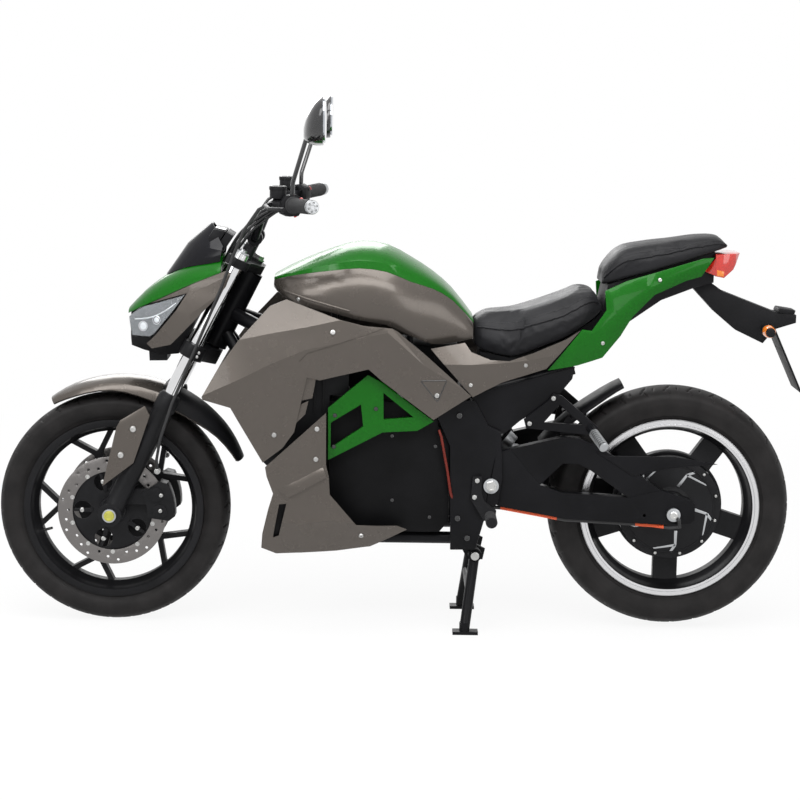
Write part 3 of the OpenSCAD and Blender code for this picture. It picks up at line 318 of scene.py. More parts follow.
CAD_BEVEL = 0.0015
BEVEL = {"tank_top": 0, "rider_seat": 0, "pillion_seat": 0, "grips": 0, "brake_hoses": 0,
         "motor_cable": 0, "front_tyre": 0, "rear_tyre": 0, "handlebar": 0, "stanchions": 0.0008,
         "front_discs": 0.0004, "rear_disc": 0.0004, "mirror_glass": 0.0004, "headlamp": 0.001,
         "fly_screen": 0.001}
CREASE = {"side_shrouds": 9.0, "belly_pan": 9.0, "tail_sides": 12.0, "cowl_sides": 9.0}
for mat, names in LOOK.items():
    for name in names:
        obj = NODES[name]
        obj.data.materials.clear()
        obj.data.materials.append(mat)
        soften(obj, BEVEL.get(name, CAD_BEVEL), shade=CREASE.get(name))


# Pieces that scene.py adds: each pile is one mesh on one body
def skin(rows, n, loop=False):
    """Faces over closed rows of n points, with end caps, or back to the first row where it is a loop."""
    faces = []
    for i in range(rows if loop else rows - 1):
        a, b = i * n, (i + 1) % rows * n
        for k in range(n):
            m = (k + 1) % n
            faces.append((a + k, a + m, b + m, b + k))
    if not loop:
        faces += [tuple(range(n - 1, -1, -1)), tuple(range((rows - 1) * n, rows * n))]
    return faces


def across(axis):
    """An axis and two directions across it."""
    axis = Vector(axis).normalized()
    u = axis.orthogonal().normalized()
    return axis, u, axis.cross(u)


def spoke(u, v, angle):
    return u * math.cos(angle) + v * math.sin(angle)


def turned(at, axis, r, h, angle):
    """Point at a radius and a height in millimetres, turned about an axis."""
    axis, u, v = axis
    return Vector(at) + axis * (h / 1000) + spoke(u, v, angle) * (r / 1000)


class Pile:
    def __init__(self, name, body, mat, slot):
        self.name, self.body, self.mat, self.slot = name, body, mat, slot
        self.verts, self.faces = [], []

    def add(self, verts, faces):
        base = len(self.verts)
        self.verts.extend(tuple(v) for v in verts)
        self.faces.extend(tuple(base + i for i in f) for f in faces)

    def lathe(self, at, axis, profile, n=24):
        """Solid of revolution from radii and heights in millimetres, from the base to the top."""
        axis = across(axis)
        self.add([turned(at, axis, r, h, 2 * math.pi * k / n) for r, h in profile for k in range(n)],
                 skin(len(profile), n))

    def ring(self, at, axis, profile, n=96):
        """Ring of revolution from a closed profile in millimetres."""
        axis = across(axis)
        self.add([turned(at, axis, r, h, 2 * math.pi * k / n) for k in range(n) for r, h in profile],
                 skin(n, len(profile), True))

    def tube(self, path, r, n=10, taper=None):
        path = [Vector(p) for p in path]
        last = len(path) - 1
        side = (path[1] - path[0]).orthogonal().normalized()
        pts = []
        for i, p in enumerate(path):
            d = (path[min(i + 1, last)] - path[max(i - 1, 0)]).normalized()
            side = (side - d * side.dot(d)).normalized()
            rr = r if taper is None else r * taper[i]
            pts += [p + spoke(side, d.cross(side), 2 * math.pi * k / n) * rr for k in range(n)]
        self.add(pts, skin(len(path), n))

    def slab(self, outline, lift):
        """Thin plate: outline points and the vector to its other face."""
        near = [Vector(p) for p in outline]
        *walls, low, high = skin(2, len(near))
        self.add(near + [p + Vector(lift) for p in near], [low, high, *walls])

    def make(self, bevel=0.0, angle=35.0):
        mesh = bpy.data.meshes.new(self.name)
        mesh.from_pydata(self.verts, [], self.faces)
        bm = bmesh.new()
        bm.from_mesh(mesh)
        bmesh.ops.recalc_face_normals(bm, faces=bm.faces)
        bm.to_mesh(mesh)
        bm.free()
        return show(self.name, mesh, self.mat, self.body, bevel, angle)


def show(name, mesh, mat, body, bevel, angle):
    """Put a mesh in the scene on a body of the part."""
    mesh.name = name
    obj = bpy.data.objects.new(name, mesh)
    bpy.context.scene.collection.objects.link(obj)
    mesh.materials.clear()
    mesh.materials.append(mat)
    soften(obj, bevel, angle)
    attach(obj, body)
    return obj


def button(r, h):
    """Profile of a round screw head with a socket, in millimetres."""
    return [(r, -1), (r, 0.35 * h), (0.82 * r, 0.85 * h), (0.55 * r, h), (0.46 * r, h),
            (0.42 * r, 0.45 * h)]


def hexed(r, h):
    """Profile of a hexagon head on its flange, in millimetres."""
    return [(1.25 * r, -1), (1.25 * r, 0.22 * h), (1.02 * r, 0.3 * h), (r, 0.88 * h), (0.86 * r, h)]


def tree_of(mesh):
    bm = bmesh.new()
    bm.from_mesh(mesh)
    tree = BVHTree.FromBMesh(bm)
    bm.free()
    return tree


TREES = {}


def cast(name, x, z, side=1):
    """Where a line along y first meets a CAD node from one side: place and normal, None if not."""
    if name not in TREES:
        TREES[name] = tree_of(NODES[name].data)
    return TREES[name].ray_cast(Vector((x, side * BESIDE, z)), Vector((0, -side, 0)))[:2]


def hit(name, x, z, side):
    """The same, with the normal outward, for a line that has to meet the node."""
    at, normal = cast(name, x, z, side)
    if at is None:
        raise SystemExit("no surface of %s at %.3f %.3f" % (name, x, z))
    return at, (normal if normal.y * side > 0 else -normal)


def laid(name, places, side, lift):
    """Path over a node's side, at a height above its surface."""
    return [at + normal * lift for at, normal in (hit(name, x, z, side) for x, z in places)]


def screws(pile, name, places, r, h):
    """Screw heads on both sides of a node, with all sizes in millimetres."""
    for side in SIDES:
        for x, z in places:
            at, normal = hit(name, x / 1000, z / 1000, side)
            pile.lathe(at, normal, button(r, h), 18)


# Tyres with a road tread
TREAD_DEPTH, GROOVE_FLANK, GROOVE_END = 0.0030, 0.0009, 0.06
# Start and end as parts of the half width, lean, shift round the tyre, half width
GROOVES = ((0.14, 0.72, 0.55, 0.0, 0.0030), (0.50, 0.90, -0.35, 0.45, 0.0026),
           (0.30, 0.62, 0.20, 0.72, 0.0018))
TYRE_STEPS, CROWN_STEPS = 900, 47


def tyre(name, replaced, body, centre, r, w, bead, count):
    crown = 0.22 * w
    side = r - crown
    row = [(side + crown * math.cos(a), 0.5 * w * math.copysign(abs(math.sin(a)) ** 0.9, a), True)
           for a in np.linspace(-math.pi / 2, math.pi / 2, CROWN_STEPS)]
    wall = [(side - 0.06 * w, 0.503 * w), (side - 0.12 * w, 0.5 * w), (side - 0.17 * w, 0.485 * w),
            (bead + 0.021, 0.452 * w), (bead + 0.0195, 0.432 * w), (bead + 0.014, 0.41 * w),
            (bead + 0.004, 0.385 * w), (bead, 0.36 * w), (bead, 0.28 * w)]
    row = [(rad, -y, False) for rad, y in reversed(wall)] + row + [(rad, y, False) for rad, y in wall]
    row += [(side - 0.02, 0.3 * w, False), (side - 0.02, -0.3 * w, False)]
    theta = np.arange(TYRE_STEPS) * 2 * math.pi / TYRE_STEPS
    pitch = 2 * math.pi * r / count
    verts = np.zeros((TYRE_STEPS, len(row), 3))
    for j, (rad, y, tread) in enumerate(row):
        u = abs(y / (0.5 * w))
        cut = np.zeros(TYRE_STEPS)
        for low, high, lean, shift, wide in GROOVES:
            if tread and low < u < high:
                phase = theta * count / (2 * math.pi) + lean * u + shift + (0.5 if y < 0 else 0.0)
                off = np.abs(phase - np.round(phase)) * pitch
                fade = min(1.0, (u - low) / GROOVE_END, (high - u) / GROOVE_END)
                cut = np.maximum(cut, TREAD_DEPTH * fade * np.clip((wide - off) / GROOVE_FLANK, 0, 1))
        verts[:, j, 0] = centre.x + (rad - cut) * np.cos(theta)
        verts[:, j, 1] = y
        verts[:, j, 2] = centre.z + (rad - cut) * np.sin(theta)
    pile = Pile(name, body, RUBBER, "tyre")
    pile.add(verts.reshape(-1, 3).tolist(), skin(TYRE_STEPS, len(row), True))
    obj = pile.make(angle=42)
    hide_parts(replaced)


tyre("front_road_tyre", "front_tyre", "front_wheel", FRONT, 0.293, 0.110, 0.2173, 34)
tyre("rear_road_tyre", "rear_tyre", "rear_wheel", REAR, 0.307, 0.130, 0.2173, 32)

# Seats: padded covers over foam, swelled by cloth pressure
VOXEL = 0.005
PRESSURE = 4.0
CLOTH_FRAMES = 20
SWELL = 0.007  # the most that a point moves
HELD = 0.022  # height above the base over which the swelling grows
INSET, BASE_GAP = 4, 0.6  # millimetres of room for the swelling, and above the base
# Half section: parts of the half width, and of the height down from the top
SECTION = [(0, 0), (0.25, 0.005), (0.45, 0.02), (0.64, 0.07), (0.80, 0.17), (0.93, 0.36), (1.0, 0.62),
           (0.97, 0.86), (0.92, 1), (0.45, 1), (0, 1)]


def ring_points(x, top, half, low):
    left = [mm(x, half * a, top - b * (top - low)) for a, b in SECTION]
    return left + [Vector((p.x, -p.y, p.z)) for p in reversed(left[1:-1])]


def curve(points, steps, mirror=False):
    """Catmull-Rom curve through points, with the end points doubled or the inner ones mirrored there."""
    pts = np.array(points, float)
    ends = (2 * pts[0] - pts[1], 2 * pts[-1] - pts[-2]) if mirror else (pts[0], pts[-1])
    ext = [ends[0], *pts, ends[1]]
    out = []
    for a, b, c, d in zip(ext, ext[1:], ext[2:], ext[3:]):
        for t in np.arange(steps) / steps:
            out.append(0.5 * (2 * b + (c - a) * t + (2 * a - 5 * b + 4 * c - d) * t ** 2
                              + (3 * b - a - 3 * c + d) * t ** 3))
    return out + [pts[-1]]


def apply(obj):
    """Keep what the modifiers make as the object's own mesh."""
    deps = bpy.context.evaluated_depsgraph_get()
    mesh = bpy.data.meshes.new_from_object(obj.evaluated_get(deps))
    mesh.name = obj.name
    mesh.materials.clear()
    mesh.materials.append(VINYL)
    obj.modifiers.clear()
    obj.data = mesh


def points_of(obj):
    return np.array([v.co[:] for v in obj.data.vertices])


def swell(obj, rows):
    """Cloth under pressure, held near the base."""
    bpy.context.view_layer.objects.active = obj
    mod = obj.modifiers.new("remesh", "REMESH")
    mod.mode = "VOXEL"
    mod.voxel_size = VOXEL
    apply(obj)
    start = points_of(obj)
    cloth = obj.modifiers.new("cloth", "CLOTH")
    cloth.settings.use_pressure = True
    cloth.settings.uniform_pressure_force = PRESSURE
    cloth.settings.effector_weights.gravity = 0.0
    cloth.settings.quality = 4
    scene = bpy.context.scene
    for f in range(1, CLOTH_FRAMES + 1):
        scene.frame_set(f)
    apply(obj)
    scene.frame_set(1)
    move = points_of(obj) - start
    size = np.linalg.norm(move, axis=1, keepdims=True)
    move *= np.minimum(1.0, SWELL / np.maximum(size, 1e-9))
    low = np.interp(-start[:, 0], [-(r[0] / 1000 + BODY_X) for r in rows], [r[3] / 1000 for r in rows])
    hold = np.clip((start[:, 2] - low) / HELD, 0, 1)[:, None]
    for v, co in zip(obj.data.vertices, start + move * hold):
        v.co = co


def cushion(name, replaced, rows):
    """Cushion from rows of x, top, half width and low in millimetres of the drawing."""
    rows = [(x, top - INSET, half - INSET, low + BASE_GAP) for x, top, half, low in curve(rows, 4)]
    rings = [ring_points(*r) for r in rows]
    pile = Pile(name, "chassis", VINYL, "seat_cover")
    pile.add([p for r in rings for p in r], skin(len(rings), len(rings[0])))
    obj = pile.make()
    obj.modifiers.clear()
    swell(obj, rows)
    sub = obj.modifiers.new("round", "SUBSURF")
    sub.levels = sub.render_levels = 1
    for p in obj.data.polygons:
        p.use_smooth = True
    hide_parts(replaced)
    return obj


RIDER = [(-174, 795, 76, 731), (-200, 806, 96, 715), (-270, 813, 126, 705), (-330, 829, 146, 728),
         (-400, 854, 150, 758), (-445, 873, 140, 787), (-475, 870, 120, 807), (-490, 850, 108, 823)]
PILLION = [(-490, 905, 70, 881), (-505, 935, 90, 887), (-540, 970, 104, 899), (-600, 984, 108, 917),
           (-670, 993, 104, 938), (-735, 1003, 94, 958), (-785, 1003, 80, 974), (-806, 985, 64, 981)]
# Cushion, its rows, and how far down its height the piping runs
SEATS = [(cushion("rider_cushion", "rider_seat", RIDER), RIDER, 0.30),
         (cushion("pillion_cushion", "pillion_seat", PILLION), PILLION, 0.36)]
piping = Pile("seat_piping", "chassis", VINYL, "seat_cover")
stitch = Pile("seat_stitches", "chassis", THREAD, "seat_cover")
for obj, rows, drop in SEATS:
    tree = tree_of(obj.data)
    for side in SIDES:
        seam, sew = [], []
        for x, top, half, low in curve(rows, 10)[3:-3]:
            h = top - low
            at, normal, _, _ = tree.find_nearest(mm(x, side * 0.96 * half, top - drop * h))
            seam.append(at + normal * 0.0006)
            sew.append(tree.find_nearest(mm(x, side * 0.82 * half, top - (drop - 0.16) * h))[:2])
        piping.tube(seam, 0.0024, 8)
        for (a, na), (b, nb) in zip(sew[:-1], sew[1:]):
            for t in (0.15, 0.65):
                stitch.tube([a.lerp(b, t) + na * 0.0003, a.lerp(b, t + 0.3) + nb * 0.0003], 0.0006, 5)
piping.make(angle=60)
stitch.make(angle=60)


def polar(centre, r, degrees, y):
    """Point of a wheel, with the angle counted from the rear over the top."""
    a = math.radians(degrees)
    return Vector((centre.x - r * math.cos(a), y, centre.z + r * math.sin(a)))


def stroke(pile, a, b, wa, wb, lift):
    """Flat bar from a to b, with a half width at each end."""
    s = (b - a).normalized().cross(Vector((0, 1, 0))).normalized()
    pile.slab([a + s * wa, b + s * wb, b - s * wb, a - s * wa], lift)


def flat(outline, y):
    """Side view in millimetres, at one y."""
    return [(x / 1000, y, z / 1000) for x, z in outline]


def rib(pile, x, low, high, half, y, lift):
    """Upright rib on a flat side: x, heights and half width in millimetres."""
    pile.slab(flat([(x - half, low), (x + half, low), (x + half, high), (x - half, high)], y),
              (0, lift, 0))


# Rear wheel: polished rim lip, motor cover lines, ribs and bolts
LIP = [(211.2, 59), (211.2, 60), (216, 60.6), (216.8, 59.8), (217.6, 61), (226.5, 60.6), (228.4, 58),
       (228.4, 56), (228.1, 56), (228.1, 59)]
lip = Pile("rear_rim_lip", "rear_wheel", RIM_CUT, "silver_alloy")
for side in SIDES:
    lip.ring(REAR, (0, side, 0), LIP, 160)
lip.make(angle=30)
COVER_Y = 0.0619
# Radius and turn of each line's far end, and the half widths of its ends
COVER_LINES = ((0.060, 6.5, 0.0030, 0.0040), (0.1115, -7.5, 0.0034, 0.0030),
               (0.1105, -31.0, 0.0030, 0.0016))
lines = Pile("motor_lines", "rear_wheel", ALLOY, "silver_alloy")
for k in range(5):
    base = 64.6 - 72 * k
    knot = polar(REAR, 0.096, base, COVER_Y)
    for r, turn, wa, wb in COVER_LINES:
        stroke(lines, knot, polar(REAR, r, base + turn, COVER_Y), wa, wb, (0, 0.0009, 0))
lines.make(0.0003, 30)
motor = Pile("motor_cover_ribs", "rear_wheel", CAST, "cast_black")
motor.ring(REAR, (0, 1, 0), [(110, 61.5), (110, 62.8), (112.5, 62.8), (113, 61.8), (113, 60)], 128)
motor.ring(REAR, (0, 1, 0), [(47, 61.5), (47, 66), (50, 65), (56, 62.5), (56, 61.5)], 96)
motor.make(angle=30)
bolts = Pile("rear_wheel_bolts", "rear_wheel", STEEL, "steel")
for k in range(12):
    for side in SIDES:
        bolts.lathe(polar(REAR, 0.122, 15 + 30 * k, side * 0.050), (0, side, 0), button(4.2, 3.6), 16)
for k in range(5):
    bolts.lathe(polar(REAR, 0.034, 30 + 72 * k, -0.0805), (0, -1, 0), button(4.5, 4), 16)
bolts.make()

# Front wheel: disc buttons, carrier webs and a valve
buttons = Pile("disc_buttons", "front_wheel", STEEL, "steel")
spokes = Pile("carrier_webs", "front_wheel", CAST, "cast_black")
for side in SIDES:
    out = (0, side, 0)
    for k in range(5):
        angle = 36 + 72 * k
        buttons.lathe(polar(FRONT, 0.077, angle, side * 0.068), out, button(6.2, 5), 20)
        a, b = (polar(FRONT, r, angle, side * 0.0679) for r in (0.050, 0.100))
        stroke(spokes, a, b, 0.006, 0.003, (0, side * 0.0022, 0))
    for k in range(10):
        buttons.lathe(polar(FRONT, 0.1062, 18 + 36 * k, side * 0.0725), out,
                      [(5.5, -1), (5.5, 1.2), (3.5, 1.6), (3, 0.6)], 18)
    spokes.ring(FRONT, out, [(28.5, 64), (28.5, 74), (33, 73.5), (34.5, 69), (34.5, 64)], 72)
buttons.make()
spokes.make(0.0004)
valves = Pile("tyre_valves", "front_wheel", STEEL, "steel")
stem = [polar(FRONT, r, 200, y) for r, y in ((0.200, 0.006), (0.190, 0.012), (0.172, 0.020))]
valves.tube(stem, 0.0038, 10, [1.2, 1.0, 0.9])
valves.make()

# Fork: axle caps, seals, top caps and bolts
LEG_Y = 105  # millimetres
leg = in_fork(0, 0, 1) - in_fork(0, 0, 0)  # a millimetre up the legs
caps = Pile("front_axle_caps", "steering", BRASS, "steel")
fork = Pile("fork_seals", "steering", PLASTIC, "plastic_black")
tops = Pile("fork_top_caps", "steering", ALLOY, "silver_alloy")
steer_bolts = Pile("steering_bolts", "steering", STEEL, "steel")
screws(steer_bolts, "fork_guards", [(659, 514), (690, 448)], 8.5, 6)
screws(steer_bolts, "front_calipers", [(594, 340), (596, 300)], 5.5, 6)
steer_bolts.lathe(in_fork(-38, 0, 730), leg, hexed(15, 11), 6)
for side in SIDES:
    out = (0, side, 0)
    caps.lathe((FRONT.x, side * 0.1399, FRONT.z), out,
               [(13.5, -2), (13.5, 2), (12.5, 3.6), (8.5, 4.4), (7.5, 2.8)], 32)
    fork.ring(in_fork(0, side * LEG_Y, 331), leg,
              [(19, -1), (19, 11), (22.5, 10), (26.2, 4), (27.6, -1)], 48)
    tops.lathe(in_fork(0, side * LEG_Y, 735), leg,
               [(17.2, -1), (17.2, 3), (15, 5), (9, 5.5), (8.5, 10), (6, 11)], 28)
    for dy in (-0.007, 0.007):
        steer_bolts.lathe(BAR + Vector((0, side * 0.045 + dy, 0)) + leg * 18.4, leg, button(4.2, 5), 16)
    for h in (459, 470):
        steer_bolts.lathe(in_fork(-16, side * (LEG_Y + 30), h), out, button(4.2, 4), 14)
for pile in (caps, fork, tops, steer_bolts):
    pile.make()

# Headlight: reflector behind the clear lens, lamps and a light strip
BEHIND = 0.0032  # from the lens to the reflector
shell = NODES["headlamp"].data.copy()
bm = bmesh.new()
bm.from_mesh(shell)
bmesh.ops.remove_doubles(bm, verts=bm.verts, dist=WELD)
bm.normal_update()
for v in bm.verts:
    v.co -= v.normal * BEHIND
bm.to_mesh(shell)
bm.free()
show("lamp_reflectors", shell, SILVERED, "steering", 0.0, 25.0)
bezels = Pile("lamp_bezels", "steering", CHROME, "chrome")
bulbs = Pile("lamp_lenses", "steering", WHITE, "lens")
strips = Pile("lamp_strips", "steering", WHITE, "lens")
for side in SIDES:
    for x, z, r in ((0.640, 0.765, 13), (0.605, 0.782, 11)):
        at, normal = hit("headlamp", x, z, side)
        at = at - normal * 0.0034
        bezels.ring(at, normal, [(r, -1), (r * 0.98, 2.2), (r * 0.86, 2.4), (r * 0.80, 0.4),
                                 (r * 0.80, -1)], 36)
        bulbs.lathe(at, normal, [(r * 0.78, -1), (r * 0.74, 0.4), (r * 0.58, 1.3), (r * 0.32, 1.9),
                                 (r * 0.1, 2.1)], 24)
    bow = [(0.663 - 0.108 * t, 0.781 + 0.046 * t - 0.012 * math.sin(math.pi * t))
           for t in np.linspace(0, 1, 14)]
    strips.tube(laid("headlamp", bow, side, -BEHIND), 0.0018, 8)
bezels.make()
bulbs.make(angle=40)
strips.make(angle=60)

# Handlebar: ends, grips, switches, cables, reservoir caps
ends = Pile("bar_ends", "steering", ALLOY, "silver_alloy")
pits = Pile("bar_end_holes", "steering", GLOSS, "plastic_black")
ribs = Pile("grip_ribs", "steering", GRIP, "grip")
pods = Pile("switch_pods", "steering", PLASTIC, "plastic_black")
reds = Pile("switch_buttons", "steering", REDBIT, "plastic_black")
leads = Pile("control_cables", "steering", HOSE, "cable")
lids = Pile("reservoir_caps", "steering", PLASTIC, "plastic_black")
lid_screws = Pile("control_screws", "steering", STEEL, "steel")
# Switch housing seen along the bar: forward and up of its middle
HOUSING = [(0.024, -0.020), (0.027, 0.008), (0.018, 0.022), (-0.008, 0.026), (-0.026, 0.016),
           (-0.028, -0.008), (-0.014, -0.026), (0.008, -0.027)]
# Cable from the switches to the cowl: place of the first one, and the step in x to the next
ROUTE = [(-0.070, 0.196, 0.082, 0.010), (-0.040, 0.160, 0.060, 0.012), (0.006, 0.112, 0.020, 0.012),
         (0.040, 0.072, -0.024, 0.010), (0.066, 0.052, -0.060, 0.006)]
BACK = Vector((-0.8, 0, 0.45)).normalized()  # towards the rider's thumb
DOWN = Vector((-0.35, 0, -0.9)).normalized()
for side in SIDES:
    a = BAR + Vector((-0.084, side * 0.200, 0.094))
    b = BAR + Vector((-0.151, side * 0.368, 0.100))
    d, u, v = across(b - a)
    ends.lathe(b, d, [(10.5, -4.5), (15.8, -3), (16.8, 1), (16.8, 8), (15, 11), (6, 11.4), (5, 10)], 40)
    for k in range(6):
        pits.lathe(b + d * 0.0108 + spoke(u, v, k * math.pi / 3) * 0.0102, d,
                   [(2.6, -1), (2.6, 0.8), (2, 1), (1.7, 0.4)], 14)
    for k in range(20):
        ribs.ring(a.lerp(b, 0.33 + 0.60 * k / 19), d,
                  [(16, -1.6), (17.4, -0.9), (17.4, 0.9), (16, 1.6)], 40)
    ribs.ring(a.lerp(b, 0.30), d, [(16, -1), (20.5, -0.5), (21, 1.5), (20, 3.5), (16, 4)], 40)
    fwd = d.cross(UP).normalized() * side
    up = (UP - d * d.z).normalized()
    inner, pod = a.lerp(b, 0.10), a.lerp(b, 0.19)
    pods.slab([inner + fwd * x + up * z for x, z in HOUSING], d * 0.033)
    pods.lathe(pod + BACK * 0.026 - d * 0.006, BACK, [(8, -3), (7.8, 3), (6, 5.2), (5, 5.4)], 6)
    reds.lathe(pod + BACK * 0.0265 + d * 0.009, BACK, [(5.6, -4), (5.6, 2.6), (4.4, 4.2), (2, 4.6)], 20)
    reds.lathe(inner + fwd * 0.010 - d * 0.0002 + up * 0.014, -d,
               [(5, -2), (5, 2), (3.6, 3.4), (1.6, 3.6)], 18)
    reds.lathe(pod + DOWN * 0.0262 + d * 0.004, DOWN, [(4, -2), (4, 3), (3, 4.4), (1.2, 4.7)], 18)
    top = BAR + Vector((-0.066, side * 0.224, 0.137))
    lids.lathe(top, UP, [(21.2, -6), (21.4, 0.6), (20.5, 2.6), (17, 3.2), (15, 2.4), (6, 2.6)], 48)
    for k in range(3):
        angle = 0.5 + k * 2.094
        lid_screws.lathe(top + Vector((math.cos(angle) * 0.0172, math.sin(angle) * 0.0172, 0.0028)), UP,
                         button(2.2, 1.6), 12)
        route = [BAR + Vector((x + step * k, side * (y - 0.006 * k), z)) for x, y, z, step in ROUTE]
        leads.tube(curve(route, 6, mirror=True), 0.0032, 10)
    lid_screws.lathe(BAR + Vector((-0.056, side * 0.222, 0.1115)), UP, hexed(4.8, 6), 6)
pods.make(0.004)
for pile in (ends, pits, ribs, reds, lids, lid_screws):
    pile.make()
leads.make(angle=60)
dash = Pile("dash_pod", "steering", PLASTIC, "plastic_black")
DASH_SIDE = [(463, 957.5), (435.2, 1001.2), (466, 1008), (480, 986), (476, 964)]
dash.slab(flat(DASH_SIDE, -0.058), (0, 0.116, 0))
dash.make(0.004, 40)
face = Pile("dash_display", "steering", GLOSS, "plastic_black")
face.slab([(0.4385, -0.046, 1.0024), (0.4385, 0.046, 1.0024), (0.4640, 0.040, 1.0080),
           (0.4640, -0.040, 1.0080)], (-0.0003, 0, 0.0016))
face.make(0.0006, 30)

# Brake hose ends and the black tail of the fender
banjo = Pile("hose_unions", "steering", STEEL, "steel")
for side in SIDES:
    out = (0, side, 0)
    banjo.ring((0.602, side * 0.112, 0.404), out, [(4.2, -6), (7.5, -6), (8, 0), (7.5, 6), (4.2, 6)], 28)
    banjo.lathe((0.602, side * 0.118, 0.404), out, hexed(5.2, 6), 6)
banjo.make()
# Angle about the axle, radius at the crown and at the edge, half width in millimetres
FENDER = [(112, 346, 300.5, 70), (128, 350, 306, 70), (144, 352, 326, 64), (158.3, 350, 338, 47.6)]
rows = curve(FENDER, 8)
# Across the fender: part of the half width, and of the fall from crown to edge
HALF = [(0, 0), (0.3, 0.05), (0.55, 0.14), (0.75, 0.32), (0.88, 0.5), (1.0, 1.0)]
WHOLE = [(-w, f) for w, f in HALF[:0:-1]] + HALF
layers = []
for lift in (0.9, 0.2):  # millimetres off the painted fender
    for degrees, crown, edge, half in rows:
        a = math.radians(degrees)
        for w, f in WHOLE:
            r = (crown - f * (crown - edge) + lift) / 1000
            layers.append(FRONT + Vector((r * math.cos(a), w * (half + lift * 0.8) / 1000,
                                          r * math.sin(a))))
n, m = len(rows), len(WHOLE)
faces = []
for s in (0, 1):
    for i in range(n - 1):
        for k in range(m - 1):
            q = s * n * m + i * m + k
            faces.append((q, q + 1, q + m + 1, q + m))
rim = [i * m for i in range(n)] + [(n - 1) * m + k for k in range(1, m)]
rim += [i * m + m - 1 for i in range(n - 2, -1, -1)] + list(range(m - 2, 0, -1))
faces += [(a, b, b + n * m, a + n * m) for a, b in zip(rim, rim[1:] + rim[:1])]
tail = Pile("fender_tail", "steering", PLASTIC, "plastic_black")
tail.add(layers, faces)
tail.make(angle=40)

# Body: screws, shroud liners and vent backs
body = Pile("body_screws", "chassis", STEEL, "steel")
screws(body, "side_shrouds", [(164, 770), (306, 515), (-92, 616)], 6.8, 4)
screws(body, "belly_pan", [(201, 530), (203, 455), (90, 257)], 6.8, 4)
screws(body, "tail_sides", [(-310, 690), (-175, 640)], 5.5, 3.5)
screws(body, "tail_cowl", [(-500, 745), (-640, 900)], 5.5, 3.5)
screws(body, "rider_pegs", [(-197, 398), (-191, 356)], 6.8, 5)
screws(body, "pillion_pegs", [(-382, 606), (-324, 542)], 6.5, 5)
screws(body, "tank_body", [(250, 845)], 5.5, 3.5)
body.make()
black = Pile("black_screws", "chassis", GLOSS, "plastic_black")
screws(black, "battery_case", [(16, 505), (14, 342), (-80, 300), (-92, 480)], 5.2, 3)
screws(black, "pivot_plates", [(-150, 560), (-175, 250), (-150, 300)], 8.5, 6)
screws(black, "trellis_panels", [(57, 578), (160, 482), (158, 560)], 5.5, 3.5)
black.make()
liner = Pile("shroud_liners", "chassis", PLASTIC, "plastic_black")
vent = Pile("belly_vent_backs", "chassis", PLASTIC, "plastic_black")
LINER = [(338, 438), (300, 398), (262, 420), (215, 520), (172, 570), (172, 606), (125, 608), (125, 690),
         (250, 700), (290, 600), (325, 520)]
VENT = [(308, 183, 350), (278, 183, 352), (296, 150, 246), (326, 147, 240)]
for side in SIDES:
    liner.slab(flat(LINER, side * 0.138), (0, side * 0.0025, 0))
    for k in range(5):
        rib(liner, 188 + 22 * k, 560, 680, 2, side * 0.1400, side * 0.004)
    vent.slab([mm(x, side * y, z) for x, y, z in VENT], (0, -side * 0.002, 0))
liner.make(0.0006)
vent.make(0.0005, 30)

# Tail: lamp corners, indicator lenses and the plate's lamp
amber = Pile("tail_lamp_corners", "chassis", AMBER, "red_lens")
blink = Pile("rear_indicator_lenses", "chassis", AMBER, "red_lens")
CORNER = [(-786, 908.5), (-803.5, 907), (-803.5, 920), (-786, 924)]
for side in SIDES:
    amber.slab(flat(CORNER, side * 0.0719), (0, side * 0.0012, 0))
    blink.ring((-0.915, side * 0.102, 0.776), (0, side, 0),
               [(12.8, 0), (15.8, 0), (15, 18), (13.2, 26), (10.8, 26)], 40)
amber.make(0.0005, 30)
blink.make(angle=40)
plate = Pile("plate_lamp", "chassis", PLASTIC, "plastic_black")
plate.slab([(-0.948, -0.034, 0.8145), (-0.992, -0.026, 0.8085), (-0.992, 0.026, 0.8085),
            (-0.948, 0.034, 0.8145)], (-0.004, 0, 0.012))
plate.make(0.003, 40)

# Pegs, the spring of the damper, and nuts
pads = Pile("peg_rubbers", "chassis", GRIP, "grip")
sleeves = Pile("pillion_peg_sleeves", "chassis", ALLOY, "silver_alloy")
nuts = Pile("chassis_nuts", "chassis", STEEL, "steel")
for side in SIDES:
    out = (0, side, 0)
    for k in range(9):
        pads.ring(mm(-221, side * (162 + 8.4 * k), 309), out,
                  [(12.6, -2.4), (14.6, -1.8), (14.6, 1.8), (12.6, 2.4)], 32)
    a, b = mm(-465, side * 137, 532), mm(-492, side * 226, 500)
    for k in range(8):
        sleeves.ring(a.lerp(b, 0.30 + 0.085 * k), b - a,
                     [(10.6, -3), (12.4, -2.2), (12.4, 2.2), (10.6, 3)], 32)
    sleeves.lathe(b, b - a, [(11.2, -4), (12.4, -3), (12.4, 1), (10, 3), (4, 3.6)], 32)
    nuts.lathe((REAR.x, side * 0.1459, REAR.z), out,
               [(9.8, -1), (9.8, 3), (8, 4.2), (5, 4.4), (4.5, 3.2)], 28)
    nuts.lathe(mm(-222, side * 150, 384), out, [(15, -1), (15, 3), (13, 4.6), (9, 4.8), (8.2, 3)], 6)
    nuts.lathe(mm(-187, side * 110, 196), out, [(10.5, -1), (10.5, 3), (8.5, 4), (3, 4.2)], 24)
pads.make()
sleeves.make()
SPRING_R, SPRING_WIRE, SPRING_TURN = 0.0315, 0.0045, 44  # the turn in radians
top, low = mm(-150, 0, 592), mm(-292, 0, 447.3)
d, u, v = across(low - top)
first, last = 0.066, (low - top).length - 0.044
spring = Pile("shock_spring", "chassis", FRAME, "frame_black")
